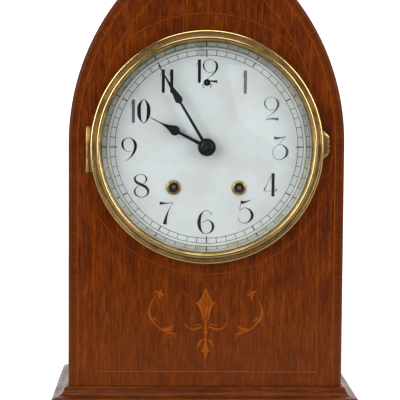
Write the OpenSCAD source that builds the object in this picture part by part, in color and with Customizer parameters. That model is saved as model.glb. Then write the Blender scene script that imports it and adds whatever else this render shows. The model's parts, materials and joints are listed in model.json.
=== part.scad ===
// Beehive shelf clock: a pointed-arch case on a moulded base, with a hinged glass bezel,
// an eight-day spring movement that strikes on a coil gong, and a hinged back door.
// Front of the clock faces -Y, up is +Z, and the origin is under the middle of the clock.

/* [Case] */
// Width of the case across its straight sides
case_w = 210; // [200:1:250]
// Depth of the case behind its front face
case_d = 130; // [126:1:170]
// Height of the straight sides, from the base to the spring of the arch
side_h = 186; // [176:1:225]
// Radius of each flank of the pointed arch
arch_r = 178; // [160:1:215]
// Thickness of the front board
front_t = 16; // [15:0.5:18]
// Thickness of the bent sides
side_t = 8; // [5:0.5:10]
// Thickness of the back board and its door
back_t = 6; // [4:0.5:9]
// Radius worked on the front edge
edge_round = 2.5; // [0.5:0.1:4]
// Gap between the back board and the sides
board_fit = 0.2; // [0.1:0.05:0.5]

/* [Base] */
// Height of the base moulding
base_h = 22; // [18:0.5:32]
// How far the moulding stands out past the case
base_out = 12.5; // [11:0.5:18]
// How far the moulding reaches in under the case
base_in = 20; // [16:0.5:26]
// Thickness of the base board
base_board_t = 12; // [8:0.5:16]
// Radius of the round at the top of the moulding
fillet_w = 3.1; // [1.5:0.1:4]
// Height of the cove under the round
cove_drop = 4.4; // [3:0.1:5]
// Radius of the round nose of the moulding
nose_r = 3.1; // [1.5:0.1:4]

/* [Back door] */
// Width of the opening in the back board
door_w = 124; // [100:1:130]
// Height of the opening in the back board
door_h = 196; // [150:1:210]
// Height of the opening's sill above the base
door_up = 20; // [12:1:30]
// Gap round the door
door_gap = 0.8; // [0.5:0.1:1.5]
// Radius of the hinge knuckles
knuckle_r = 2.2; // [1.8:0.1:3]
// Length of each door hinge
door_hinge_l = 30; // [24:1:40]
// Thickness of the hinge leaves
leaf_t = 1.2; // [0.8:0.1:1.6]
// Length of the turn button
button_l = 30; // [26:1:34]
// Thickness of the turn button
button_t = 3; // [2:0.5:5]

/* [Dial] */
// Height of the dial centre above the base
dial_up = 183.2; // [178:0.2:195]
// Radius of the dial sheet
dial_r = 79.6; // [66:0.1:82]
// Thickness of the dial sheet
dial_t = 0.8; // [0.5:0.1:1]
// Depth of the dial behind the front face
dial_set = 6.2; // [5:0.1:6.4]
// How far the sight ring covers the edge of the dial
sight_lap = 4.3; // [3.6:0.1:5]
// Sideways distance of each winding arbor from the centre
wind_x = 25; // [24.5:0.1:26]
// Distance of the winding arbors below the centre
wind_down = 31; // [30:0.1:32]
// Distance of the regulator arbor above the centre
regulator_up = 49; // [48.5:0.1:49.5]

/* [Bezel and glass] */
// Gap between the edge of the dial and the mounting ring round it
dial_fit = 0.4; // [0.2:0.1:0.6]
// How far the glass reaches past the wall of the mounting ring
glass_lap = 1; // [0.6:0.1:1.2]
// Width of the bezel outside the wall of the mounting ring
bezel_w = 8.3; // [8.1:0.1:10]
// Thickness of the glass
glass_t = 2; // [1.5:0.1:2.2]
// Rise of the domed glass over its edge
glass_rise = 9; // [5:0.5:12]
// Radius of the bezel hinge knuckles
bezel_knuckle_r = 1.6; // [1.4:0.1:1.8]
// Length of the bezel hinge
bezel_hinge_l = 34; // [28:1:44]
// How far the middle of the bezel hinge is below the centre of the dial
bezel_hinge_low = 2.1; // [0:0.1:4]
// Radius of the bezel hinge pin
bezel_pin_r = 0.8; // [0.6:0.1:0.9]

/* [Hands] */
// Gap between the tip of the minute hand and the sight ring
tip_gap = 3.4; // [1:0.1:8]
// Length of the hour hand from the centre
hour_len = 48.2; // [42:0.1:52]
// Turn of the minute hand from twelve, clockwise
minute_turn = 329.1; // [0:0.1:360]
// Thickness of the hands
hand_t = 0.7; // [0.5:0.1:0.9]
// Radius of the round boss of the hands
boss_r = 6.8; // [5.5:0.1:8]

/* [Movement] */
// Distance of the front plate behind the front board
plate_off = 6; // [5:0.5:8]
// Thickness of the plates
plate_t = 1.8; // [1.5:0.1:2]
// Radius of the pillars
pillar_r = 3; // [2.5:0.1:3.4]
// Thickness of the train wheels
wheel_t = 1.2; // [1:0.1:1.4]
// Thickness of the great wheels
great_t = 1.8; // [1.5:0.1:2]
// Radius of a winding arbor
winder_r = 3; // [2.6:0.1:3.2]
// Width across the winding square
square_w = 3; // [2.6:0.1:3.4]
// Running clearance of a shaft in its hole
run_fit = 0.05; // [0.02:0.01:0.1]
// Width of the mainsprings, which sets how far apart the plates stand
spring_w = 18; // [15:0.5:24]
// Thickness of the mainspring strip
spring_t = 0.45; // [0.3:0.05:0.5]
// Turns of each mainspring
spring_turns = 11; // [8:1:12]

/* [Pendulum and gong] */
// Length of the pendulum from its bending point to the middle of the bob
pendulum_l = 151; // [135:1:160]
// Radius of the bob
bob_r = 18; // [14:0.5:22]
// Thickness of the bob
bob_t = 10; // [7:0.5:11]
// Outer radius of the gong coil
gong_r = 40; // [36:0.5:44]
// Radius of the gong wire
gong_wire_r = 1; // [0.8:0.1:1.3]
// Distance between turns of the gong
gong_pitch = 6; // [5:0.5:6]
// Height of the gong's centre above the base board
gong_up = 53; // [50:1:60]

/* [Hidden] */
$fn = 64;
eps = 0.01;

// Case frame: half width, spring of the arch, offset of the arch centres and rise
half_w = case_w / 2;
spring_z = base_h + side_h;
arch_off = arch_r - half_w;
arch_rise = sqrt(arch_r * arch_r - arch_off * arch_off);
dial_z = base_h + dial_up;
door_z = base_h + door_up;
back_y = case_d;

// Radii of what stands round the dial
sight_r = dial_r - sight_lap;
wall_r = dial_r + dial_fit;
glass_r = wall_r + glass_lap;
bezel_r = wall_r + bezel_w;
minute_len = sight_r - tip_gap;

// Depths measured back from the front face of the case
flange_t = 1;
flange_r = bezel_r - 1.8;
pan_t = 0.8;
pan_back = dial_set + dial_t + pan_t;
pan_bore_r = wall_r + pan_t + 0.4;
pan_bore_d = pan_back + 0.8;
movement_bore_r = 58;
plate_y = front_t + plate_off;
gap_y = plate_y + plate_t;
ratchet_y = gap_y + 2.6;
ratchet_t = 2;
great_y = ratchet_y + ratchet_t + 0.4;
spring_y = great_y + great_t + 2.4;
second_wheel_y = spring_y + spring_w + 2;
strike_second_y = second_wheel_y + 2.2;
rear_plate_y = strike_second_y + wheel_t + 1.4;
rear_y = rear_plate_y + plate_t;

// The bezel seat and the reach of the whole clock, which centre the frame
bezel_seat = flange_t + 0.2;
glass_seat = bezel_seat + 5;
glass_in_r = (glass_r * glass_r + glass_rise * glass_rise) / (2 * glass_rise);
glass_centre = glass_seat + glass_rise - glass_in_r;
front_reach = glass_centre + glass_in_r + glass_t;
screw_head_t = 2;
back_reach = back_y + button_t + 0.3 + screw_head_t;
mid_y = (back_reach - front_reach) / 2;

// Bezel hinge axis, left of the ring
hinge_x = -(bezel_r + bezel_knuckle_r + 0.3);
hinge_f = bezel_seat + bezel_knuckle_r - 0.1;
bezel_third = bezel_hinge_l / 3;

// Tooth counts and tooth sizes of the going train and the motion work
main_teeth = 60;
main_m = 0.75;
second_leaves = 10;
second_teeth = 48;
second_m = 0.6;
centre_leaves = 16;
centre_teeth = 84;
centre_m = 0.4;
third_leaves = 8;
third_teeth = 88;
third_m = 0.35;
escape_leaves = 8;
escape_teeth = 40;
cannon_leaves = 12;
motion_teeth = 36;
cannon_m = 0.5;
motion_leaves = 10;
hour_teeth = 40;
motion_m = cannon_m * (cannon_leaves + motion_teeth) / (motion_leaves + hour_teeth);

// Tooth counts and tooth sizes of the striking train
strike_second_teeth = 72;
strike_second_m = 0.42;
pin_leaves = 8;
pin_teeth = 80;
pin_m = 0.36;
pin_count = 10;
locking_leaves = 8;
locking_teeth = 56;
locking_m = 0.4;
warning_leaves = 8;
warning_teeth = 48;
warning_m = 0.4;
fly_leaves = 8;

// Wheel and leaf shapes: width as a share of the pitch, addendum and dedendum in tooth sizes
wheel_tooth = [0.42, 0.9, 1.15, 0.4];
leaf_tooth = [0.36, 0.5, 1.15, 0.5];

// Distances between meshing arbors
function apart(a, b, m) = m * (a + b) / 2;
// A point at a distance and direction from another
function away(p, d, a) = [p[0] + d * cos(a), p[1] + d * sin(a)];
// The meeting point of two circles, on the right of the way from one to the other
function meet(p, rp, q, rq) =
    let (v = q - p, d = norm(v), k = (rp * rp - rq * rq + d * d) / (2 * d))
    let (h = sqrt(rp * rp - k * k))
    p + v * k / d + [v[1], -v[0]] * h / d;

// Places of the arbors in the plane of the dial, as [across, up] from the dial centre
centre_at = [0, 0];
time_main_at = [wind_x, -wind_down];
strike_main_at = [-wind_x, -wind_down];
main_apart = apart(main_teeth, second_leaves, main_m);
time_second_at = meet(time_main_at, main_apart, centre_at,
    apart(second_teeth, centre_leaves, second_m));
third_at = away(centre_at, apart(centre_teeth, third_leaves, centre_m), 60);
third_apart = apart(third_teeth, escape_leaves, third_m);
escape_at = [0, third_at[1] + sqrt(third_apart * third_apart - third_at[0] * third_at[0])];
motion_at = [0, -apart(cannon_leaves, motion_teeth, cannon_m)];
strike_second_at = [-time_second_at[0], time_second_at[1]];
pin_at = away(strike_second_at, apart(strike_second_teeth, pin_leaves, strike_second_m), 125);
locking_at = away(pin_at, apart(pin_teeth, locking_leaves, pin_m), 82);
warning_at = away(locking_at, apart(locking_teeth, warning_leaves, locking_m), 75);
fly_at = away(warning_at, apart(warning_teeth, fly_leaves, warning_m), 50);
regulator_at = [0, regulator_up];
verge_at = [0, 60];
hammer_at = [-44, -4];
lever_at = [-44, 20];
pillar_at = [[44, -53], [-44, -53], [37, 54], [-37, 54]];
ear_at = [[60, -50], [-60, -50], [52, 52], [-52, 52]];

// Turn of a follower so that its gaps meet the teeth of the wheel that drives it
function mesh_turn(p, turn_p, n_p, q, n_q) =
    let (a = atan2(q[1] - p[1], q[0] - p[0]))
    a + 180 + ((a - turn_p) * n_p / 360 + 0.5) * 360 / n_q;
second_turn = mesh_turn(time_main_at, 0, main_teeth, time_second_at, second_leaves);
centre_turn = mesh_turn(time_second_at, 0, second_teeth, centre_at, centre_leaves);
third_turn = mesh_turn(centre_at, 0, centre_teeth, third_at, third_leaves);
escape_turn = mesh_turn(third_at, 0, third_teeth, escape_at, escape_leaves);
motion_turn = mesh_turn(centre_at, 0, cannon_leaves, motion_at, motion_teeth);
hour_turn_teeth = mesh_turn(motion_at, 0, motion_leaves, centre_at, hour_teeth);
strike_second_turn =
    mesh_turn(strike_main_at, 0, main_teeth, strike_second_at, second_leaves);
pin_turn = mesh_turn(strike_second_at, 0, strike_second_teeth, pin_at, pin_leaves);
locking_turn = mesh_turn(pin_at, 0, pin_teeth, locking_at, locking_leaves);
warning_turn = mesh_turn(locking_at, 0, locking_teeth, warning_at, warning_leaves);
fly_turn = mesh_turn(warning_at, 0, warning_teeth, fly_at, fly_leaves);

// Depths of the other wheels between the plates
centre_wheel_y = gap_y + 20.2;
third_wheel_y = gap_y + 12.2;
escape_wheel_y = gap_y + 27.5;
pin_wheel_y = gap_y + 16.2;
locking_wheel_y = gap_y + 10.2;
warning_wheel_y = gap_y + 5.2;
count_wheel_y = rear_y + 1.4;
mesh_over = 1.4;
end_shake = 0.3;

// Radii of arbors and pivots
arbor_r = 0.9;
centre_arbor_r = 1.5;
second_arbor_r = 1.2;
pivot_r = 0.7;
winder_front_r = 2.4;
winder_pivot_r = 1.5;
cannon_r = 2.2;
hour_pipe_r = 3.4;

// Depths of the motion work and the hands, back from the front face
hour_hand_y = 1.6;
minute_hand_y = -1.4;
washer_t = 1.3;
cannon_pinion_y = plate_y - 3.4;
hour_wheel_y = cannon_pinion_y - 3.1;
hour_angle = minute_turn / 12 + 270;

// The suspension behind the rear plate
crutch_y = rear_y + 3.9;
crutch_t = 1.8;
strip_y = rear_y + 6.9;
strip_w = 4;
strip_t = 0.2;
rod_y = strip_y + strip_w / 2;
rack_y = rear_y + 0.3;
rack_t = 3.1;
slit = 0.5;
slide_block_h = 4;
pendulum_rod_r = 0.8;
bob_z = verge_at[1] - pendulum_l;

// The gong and its hammer
gong_z = base_h + gong_up;
gong_y = back_y - back_t - 24;
gong_turns = 4;
gong_boss_r = 6;
gong_in_r = gong_r - gong_turns * gong_pitch;
hammer_hit = 130;

// Place everything that is drawn from the front face back, on the frame's origin
module in_case() translate([0, -mid_y, 0]) children();
// The same, with the dial centre as zero height
module at_dial() translate([0, -mid_y, dial_z]) children();
// A flat shape across and up, thickened from one depth to another
module slab(y0, y1) translate([0, y1, 0]) rotate([90, 0, 0]) linear_extrude(y1 - y0) children();
// A profile of radius and forward distance, turned about the dial's axis
module turned() rotate([90, 0, 0]) rotate_extrude($fn = 144) children();
// A round rod along the depth
module rod(at, y0, y1, r) {
    translate([at[0], y1, at[1]]) rotate([90, 0, 0]) cylinder(h = y1 - y0, r = r, $fn = 32);
}
// A band bent round the depth axis, from the right over the top
module band(r, t, y0, y1, angle = 180) {
    translate([0, y1, 0]) rotate([90, 0, 0])
        rotate_extrude(angle = angle) translate([r - t / 2, 0]) square([t, y1 - y0]);
}

// Teeth as points round a circle, each with two root, two flank and two tip corners
function tooth_points(n, m, shape, turn) =
    let (rp = n * m / 2, ra = rp + shape[1] * m, rr = rp - shape[2] * m, h = 180 / n * shape[0])
    [for (i = [0 : n - 1])
        for (c = [[rr, -h], [rp, -h], [ra, -h * shape[3]], [ra, h * shape[3]], [rp, h], [rr, h]])
            let (a = turn + 360 * i / n + c[1]) [c[0] * cos(a), c[0] * sin(a)]];

// A train wheel with arms between its hub and its rim
module wheel(at, y, t, n, m, turn, arms = 4, hub_r = 3, rim = 2.2) {
    rim_r = n * m / 2 - wheel_tooth[2] * m - rim;
    slab(y, y + t) translate(at) difference() {
        polygon(tooth_points(n, m, wheel_tooth, turn));
        difference() {
            circle(rim_r);
            circle(hub_r);
            for (i = [0 : arms - 1])
                rotate(45 + i * 360 / arms) translate([0, -0.9]) square([rim_r + 1, 1.8]);
        }
    }
}

module pinion(at, y0, y1, n, m, turn) {
    slab(y0, y1) translate(at) polygon(tooth_points(n, m, leaf_tooth, turn));
}

// An arbor with a pivot in each plate
module arbor(at, r) {
    rod(at, gap_y + end_shake, rear_plate_y - end_shake, r);
    rod(at, plate_y + 0.2, rear_y - 0.2, pivot_r);
}

// The outline of the pointed arch, smaller by an inset, from a height up
module lancet(inset, from_z) {
    w = half_w - inset;
    r = arch_r - inset;
    intersection() {
        translate([-arch_off, spring_z]) circle(r, $fn = 240);
        translate([arch_off, spring_z]) circle(r, $fn = 240);
        translate([-w, spring_z]) square([2 * w, arch_rise]);
    }
    translate([-w, from_z]) square([2 * w, spring_z - from_z]);
}

// Section of the front board with its rounded front edge
module board_section(reach) {
    difference() {
        translate([0, -front_t]) square([reach, front_t]);
        translate([reach - edge_round, -edge_round]) difference() {
            square(edge_round + 1);
            circle(edge_round);
        }
    }
}

// The right half of a wall or board that follows the arch and the straight side
module arch_half() {
    intersection() {
        translate([-arch_off, 0, spring_z]) rotate([90, 0, 0])
            rotate_extrude(angle = 90, $fn = 240) children(0);
        translate([0, -1, spring_z]) cube([case_w, case_d + 2, arch_rise + 1]);
    }
    translate([-arch_off, 0, base_h]) linear_extrude(side_h) intersection() {
        mirror([0, 1]) children(0);
        translate([arch_off, -1]) square([half_w + 1, case_d + 2]);
    }
}

module board_half() {
    arch_half() board_section(arch_r);
}

module side_half() {
    arch_half() translate([arch_r - side_t, -case_d]) square([side_t, case_d - front_t]);
}

module front_board() color([0.42, 0.19, 0.08]) in_case() difference() {
    union() {
        board_half();
        mirror([1, 0, 0]) board_half();
    }
    slab(-1, pan_bore_d) translate([0, dial_z]) circle(pan_bore_r, $fn = 144);
    slab(pan_bore_d - 1, front_t + 1) translate([0, dial_z]) circle(movement_bore_r, $fn = 144);
    for (p = ear_at)
        rod([p[0], p[1] + dial_z], front_t - screw_in, front_t + 1, screw_r + run_fit);
}

module right_side() color([0.36, 0.15, 0.06]) in_case() side_half();

module left_side() color([0.36, 0.15, 0.06]) in_case() mirror([1, 0, 0]) side_half();

// The opening in the back board, smaller by a gap
module door_shape(gap) {
    translate([-door_w / 2 + gap, door_z + gap]) square([door_w - 2 * gap, door_h - 2 * gap]);
}

module back_board() color([0.40, 0.22, 0.11]) in_case() difference() {
    slab(back_y - back_t, back_y) lancet(side_t + board_fit, base_h);
    slab(back_y - back_t - 1, back_y + 1) door_shape(0);
    rod([button_x, button_z], back_y - back_t - 1, back_y + 1, screw_r + run_fit);
}

module back_door() color([0.44, 0.25, 0.13]) in_case()
    slab(back_y - back_t, back_y) door_shape(door_gap);

// Where the back door's hinges and turn button stand
door_axis_x = -door_w / 2;
door_hinge_z = [door_z + 38, door_z + door_h - 38];
door_pin_r = 1.1;
button_x = door_w / 2 + 8;
button_z = door_z + door_h / 2;
button_w = 8;
screw_r = 1.45;
screw_in = 6;
screw_head_r = 3.4;

// One leaf of a door hinge, with its share of the knuckle
module door_leaf(side, z, spans) {
    reach = 12;
    inset = knuckle_r + 0.3;
    translate([door_axis_x + (side < 0 ? -reach : inset), back_y, z - door_hinge_l / 2])
        cube([reach - inset, leaf_t, door_hinge_l]);
    for (s = spans) {
        translate([door_axis_x, back_y + knuckle_r, z - door_hinge_l / 2 + s[0]]) difference() {
            union() {
                cylinder(h = s[1] - s[0], r = knuckle_r, $fn = 32);
                translate([side < 0 ? -inset - eps : 0, -knuckle_r, 0])
                    cube([inset + eps, leaf_t, s[1] - s[0]]);
            }
            if (side > 0)
                translate([0, 0, -1])
                    cylinder(h = door_hinge_l, r = door_pin_r + run_fit, $fn = 32);
        }
    }
}

// The leaves screwed to the board, each with the pin held in its knuckles
module door_hinge_frames() color([0.78, 0.62, 0.30]) in_case()
    for (z = door_hinge_z) {
        third = door_hinge_l / 3;
        door_leaf(-1, z, [[0, third - 0.1], [2 * third + 0.1, door_hinge_l]]);
        translate([door_axis_x, back_y + knuckle_r, z - door_hinge_l / 2 - 0.8])
            cylinder(h = door_hinge_l + 1.6, r = door_pin_r, $fn = 32);
    }

// The leaves screwed to the door; the middle knuckle is theirs
module door_hinge_leaves() color([0.80, 0.64, 0.32]) in_case()
    for (z = door_hinge_z)
        door_leaf(1, z, [[door_hinge_l / 3, door_hinge_l * 2 / 3]]);

module turn_button() color([0.42, 0.22, 0.10]) in_case() difference() {
    slab(back_y + 0.3, back_y + 0.3 + button_t) translate([button_x, button_z]) union() {
        translate([-button_w / 2, -button_l / 2 + button_w / 2])
            square([button_w, button_l - button_w]);
        for (s = [-1, 1])
            translate([0, s * (button_l - button_w) / 2]) circle(button_w / 2);
    }
    rod([button_x, button_z], back_y, back_y + button_t + 1, screw_r + run_fit);
}

// Round-headed screws: four hold the movement to the front board, one is the button's pivot
module wood_screws() color([0.45, 0.45, 0.46]) in_case() {
    for (p = ear_at) {
        at = [p[0], p[1] + dial_z];
        rod(at, front_t - screw_in + 0.5, gap_y + screw_head_t, screw_r);
        rod(at, gap_y, gap_y + screw_head_t, screw_head_r);
    }
    button_top = back_y + button_t + 0.3;
    rod([button_x, button_z], back_y - back_t, button_top + screw_head_t, screw_r);
    rod([button_x, button_z], button_top, button_top + screw_head_t, screw_head_r);
}

// Section of the base moulding, as outward distance and height: a round at the top that runs
// into a cove, over a round nose
module moulding_section() {
    round_z = base_h - fillet_w;
    cove_z = round_z - cove_drop;
    nose_x = base_out - nose_r;
    cove_w = nose_x - fillet_w - 0.05;
    cove_r = micron((cove_w * cove_w + cove_drop * cove_drop) / (2 * cove_drop));
    translate([-base_in, 0]) square([base_in + eps, base_h]);
    translate([0, round_z - eps]) intersection() {
        translate([0, eps]) circle(fillet_w);
        square([fillet_w, fillet_w + eps]);
    }
    difference() {
        square([nose_x, round_z]);
        translate([nose_x, cove_z + cove_r]) circle(cove_r);
    }
    translate([nose_x - eps, 0]) square([nose_r + eps, cove_z - nose_r]);
    translate([nose_x, cove_z - nose_r]) circle(nose_r);
}

module base_front_moulding() color([0.38, 0.16, 0.06]) in_case() intersection() {
    translate([half_w + base_out, 0, 0]) rotate([90, 0, -90])
        linear_extrude(case_w + 2 * base_out) moulding_section();
    linear_extrude(base_h + 1) polygon([
        [-half_w - base_out, -base_out], [half_w + base_out, -base_out],
        [half_w - base_in, base_in], [base_in - half_w, base_in]]);
}

module side_moulding() {
    intersection() {
        translate([half_w, back_y, 0]) rotate([90, 0, 0])
            linear_extrude(back_y + base_out) moulding_section();
        linear_extrude(base_h + 1) polygon([
            [half_w + base_out, -base_out], [half_w + base_out, back_y],
            [half_w - base_in, back_y], [half_w - base_in, base_in]]);
    }
}

module base_side_mouldings() color([0.38, 0.16, 0.06]) in_case() {
    side_moulding();
    mirror([1, 0, 0]) side_moulding();
}

module base_board() color([0.44, 0.26, 0.14]) in_case()
    translate([base_in - half_w, base_in, base_h - base_board_t])
        cube([case_w - 2 * base_in, back_y - base_in, base_board_t]);

// Dial, sight ring and the rings round the glass
grommet_r = 4.6;
grommet_hole_r = 3.9;
grommet_flange_r = 5.7;
regulator_hole_r = 2.65;
module dial() color([0.88, 0.89, 0.89]) at_dial()
    slab(dial_set, dial_set + dial_t) difference() {
        circle(dial_r, $fn = 144);
        circle(hour_pipe_r + 0.8);
        for (s = [-1, 1])
            translate([s * wind_x, -wind_down]) circle(grommet_r + 0.1);
        translate(regulator_at) circle(regulator_hole_r);
    }

module winding_grommets() color([0.72, 0.55, 0.25]) at_dial()
    for (s = [-1, 1]) translate([s * wind_x, 0, -wind_down]) turned() difference() {
        union() {
            translate([grommet_hole_r, -pan_back]) square([grommet_r - grommet_hole_r, 3]);
            translate([grommet_hole_r, -dial_set]) square([grommet_flange_r - grommet_hole_r, 0.5]);
            translate([grommet_hole_r + 0.9, -dial_set + 0.5]) circle(0.9, $fn = 24);
        }
        translate([0, -dial_set - pan_t - 3]) square([grommet_hole_r, 8]);
        translate([grommet_r, -dial_set - 5]) square([3, 5]);
    }

module sight_ring() color([0.80, 0.78, 0.72]) at_dial() turned() polygon([
    [sight_r, -dial_set], [sight_r + 1, -dial_set],
    [wall_r - 0.1, bezel_seat + 0.8], [wall_r - 0.1, bezel_seat + 2.2],
    [wall_r - 0.7, bezel_seat + 2.2]]);

module mounting_ring() color([0.70, 0.54, 0.26]) at_dial() {
    turned() union() {
        translate([wall_r, 0]) square([flange_r - wall_r, flange_t]);
        translate([wall_r, -pan_back]) square([pan_t, pan_back + flange_t]);
        translate([sight_r + 1.2, -pan_back]) square([wall_r - sight_r, pan_t]);
    }
    translate([0, 0, -bezel_hinge_low]) difference() {
        union() {
            bezel_knuckle(-bezel_third / 2, bezel_third / 2);
            translate([hinge_x - bezel_knuckle_r, -hinge_f + 1.2, -bezel_third / 2])
                cube([bezel_knuckle_r * 2 - 0.1, hinge_f - 1.2, bezel_third]);
            translate([hinge_x, -flange_t, -bezel_third / 2])
                cube([-hinge_x - flange_r + 2, flange_t, bezel_third]);
        }
        bezel_pin(bezel_pin_r + run_fit);
    }
}

module bezel_knuckle(z0, z1) {
    translate([hinge_x, -hinge_f, z0]) cylinder(h = z1 - z0, r = bezel_knuckle_r, $fn = 32);
}

module bezel_pin(r) {
    translate([hinge_x, -hinge_f, -bezel_hinge_l / 2 - 0.6])
        cylinder(h = bezel_hinge_l + 1.2, r = r, $fn = 32);
}

module bezel_hinge_pin() color([0.55, 0.42, 0.20]) at_dial()
    translate([0, 0, -bezel_hinge_low]) bezel_pin(bezel_pin_r);

// Section of the bezel: a skirt, an outer bead, a sloping band, an inner bead and a lip
lip_in_r = glass_r - 0.8;
bead_r = 1.5;
inner_bead_r = 1.35;
module bezel_section() {
    lip_f = glass_seat + 2.5;
    band_f = bezel_seat + 4;
    polygon([[bezel_r - 1, bezel_seat], [bezel_r, bezel_seat], [bezel_r, band_f],
        [bezel_r - 1.5, band_f + 1.7], [bezel_r - 5.1, lip_f + 0.9], [glass_r + 1.2, lip_f + 2.3],
        [lip_in_r, lip_f + 1.5], [lip_in_r, lip_f], [glass_r + 0.4, lip_f],
        [glass_r + 1.2, lip_f - 0.7], [bezel_r - 2.1, band_f], [bezel_r - 1, band_f - 1]]);
    translate([bezel_r - 1.1, band_f + 0.9]) circle(bead_r, $fn = 32);
    translate([glass_r + 1.1, lip_f + 1.4]) circle(inner_bead_r, $fn = 32);
}

module bezel_ring() color([0.76, 0.58, 0.26]) at_dial() {
    turned() bezel_section();
    translate([0, 0, -bezel_hinge_low]) difference() {
        for (s = [-1, 1]) {
            z0 = s > 0 ? bezel_third / 2 + 0.2 : -bezel_hinge_l / 2;
            translate([0, 0, z0]) {
                translate([hinge_x, -hinge_f, 0])
                    cylinder(h = bezel_third - 0.2, r = bezel_knuckle_r, $fn = 32);
                translate([hinge_x, -hinge_f - 0.6, 0])
                    cube([4, 1.2, bezel_third - 0.2]);
            }
        }
        bezel_pin(bezel_pin_r + run_fit);
    }
}

// The thumb piece on the right of the bezel: a tapered plate with beads along its edge
tab_root_h = 23.8;
tab_end_h = 12.4;
tab_out = 4.4;
tab_t = 1.8;
tab_turn = 1.7;
tab_beads = 4;
tab_bead_r = 1.1;
tab_bead_gap = 3.5;
module bezel_tab() color([0.80, 0.62, 0.30]) at_dial() rotate([0, -tab_turn, 0]) {
    tab_y = -bezel_seat - 0.6;
    slab(tab_y - tab_t, tab_y) difference() {
        polygon([[bezel_r - 4, -tab_root_h / 2 - 2], [bezel_r - 4, tab_root_h / 2 + 2],
            [bezel_r - 0.8, tab_root_h / 2], [bezel_r + tab_out, tab_end_h / 2],
            [bezel_r + tab_out, -tab_end_h / 2], [bezel_r - 0.8, -tab_root_h / 2]]);
        circle(bezel_r + run_fit, $fn = 144);
    }
    for (i = [0 : tab_beads - 1])
        translate([bezel_r + tab_out - 0.6, tab_y - tab_t / 2,
            (i - (tab_beads - 1) / 2) * tab_bead_gap]) sphere(tab_bead_r, $fn = 32);
}

module glass() color([0.80, 0.88, 0.90, 0.4]) at_dial() turned() intersection() {
    difference() {
        translate([0, glass_centre]) circle(glass_in_r + glass_t, $fn = 1440);
        translate([0, glass_centre]) circle(glass_in_r, $fn = 1440);
    }
    translate([0, glass_seat - 1]) square([glass_r, glass_rise + glass_t + 2]);
}

module glass_retainer() color([0.66, 0.50, 0.24]) at_dial() turned()
    translate([glass_r - 1.4, glass_seat - 0.9]) square([bezel_r - glass_r - 2.4, 0.8]);

// Half the width of a hand's blade: it falls off quickly behind the spade, then slowly
hand_tip_w = 0.3;
hand_tip_grow = 0.015;
function blade_w(x, reach, from, w, run) =
    let (thin = hand_tip_w + hand_tip_grow * (reach - x), left = max(0, 1 - (x - from) / run))
    thin + (w - thin) * left * left;

// A hand that narrows from its boss, swells into a spade and runs out to a fine tip
module hand_shape(reach, spade_at, spade_w, run, waist, root_w, bore_r) {
    from = spade_at + spade_w * 0.25;
    steps = 16;
    blade = [for (i = [0 : steps]) let (x = from + (reach - from) * i / steps)
        [x, blade_w(x, reach, from, spade_w * 0.97, run)]];
    difference() {
        union() {
            circle(boss_r);
            polygon([[0, -root_w], [spade_at, -waist], [spade_at, waist], [0, root_w]]);
            translate([spade_at, 0]) circle(spade_w);
            polygon(concat([for (p = blade) [p[0], -p[1]]],
                [for (i = [steps : -1 : 0]) blade[i]]));
        }
        circle(bore_r);
    }
}

module minute_hand() color([0.07, 0.07, 0.08]) at_dial()
    slab(minute_hand_y, minute_hand_y + hand_t) rotate(90 - minute_turn)
        hand_shape(minute_len, 42, 3, 24, 0.85, 1.35, cannon_r + 0.02);

module hour_hand() color([0.07, 0.07, 0.08]) at_dial()
    slab(hour_hand_y, hour_hand_y + hand_t) rotate(90 - hour_angle)
        hand_shape(hour_len, 27.3, 3.85, 13, 1.05, 1.5, hour_pipe_r + 0.02);

// The domed washer over the minute hand and the taper pin through the arbor
module hand_washer() color([0.12, 0.12, 0.13]) at_dial() {
    turned() translate([0, -minute_hand_y]) polygon([
        [centre_arbor_r + run_fit, 0], [washer_r, 0], [washer_r, washer_t * 0.35],
        [washer_r * 0.88, washer_t * 0.65], [washer_r * 0.7, washer_t * 0.88],
        [washer_r * 0.5, washer_t], [centre_arbor_r + run_fit, washer_t]]);
    taper_pin(taper_pin_r);
}

washer_r = 4.8;
taper_pin_r = 0.5;
taper_pin_l = 8.6;
module taper_pin(r) {
    translate([0, minute_hand_y - washer_t - taper_pin_r, 0]) rotate([0, -38, 0])
        translate([-taper_pin_l / 2, 0, 0]) rotate([0, 90, 0])
            cylinder(h = taper_pin_l, r = r, $fn = 24);
}

// The plates
module plate_shape() {
    difference() {
        polygon([[-50, -60], [50, -60], [50, -6], [48, 30], [40, 60], [16, 76],
            [-16, 76], [-40, 60], [-48, 30], [-50, -6]]);
        translate([-7, -54]) square([14, 26]);
        translate([0, -28]) circle(7);
        translate([0, -54]) circle(7);
        translate([24, 8]) square([13, 38]);
        translate([30.5, 8]) circle(6.5);
        translate([30.5, 46]) circle(6.5);
    }
}

module pivot_holes() {
    for (p = [time_second_at, third_at, escape_at, strike_second_at, pin_at, locking_at,
            warning_at, fly_at])
        translate(p) circle(pivot_r + run_fit, $fn = 24);
    for (p = [verge_at, hammer_at, lever_at])
        translate(p) circle(arbor_r + run_fit, $fn = 24);
    translate(regulator_at) circle(regulator_r + run_fit, $fn = 24);
}

regulator_r = 1;
stud_r = 1.2;
module front_plate() color([0.78, 0.64, 0.34]) at_dial() {
    slab(plate_y, gap_y) difference() {
        union() {
            plate_shape();
            for (p = ear_at) {
                translate(p) circle(6);
                translate([p[0] > 0 ? 36 : -60, p[1] - 6]) square([24, 12]);
            }
        }
        for (p = ear_at) translate(p) circle(screw_r + run_fit);
        for (p = pillar_at) translate(p) circle(pillar_end_r + run_fit);
        for (p = [time_main_at, strike_main_at]) translate(p) circle(winder_front_r + run_fit);
        circle(centre_arbor_r + run_fit);
        pivot_holes();
    }
    for (p = ear_at) difference() {
        rod(p, front_t, plate_y + eps, 4.5);
        rod(p, front_t - 1, plate_y + 1, screw_r + run_fit);
    }
    rod(motion_at, hour_wheel_y - 1, plate_y + eps, stud_r);
}

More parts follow.
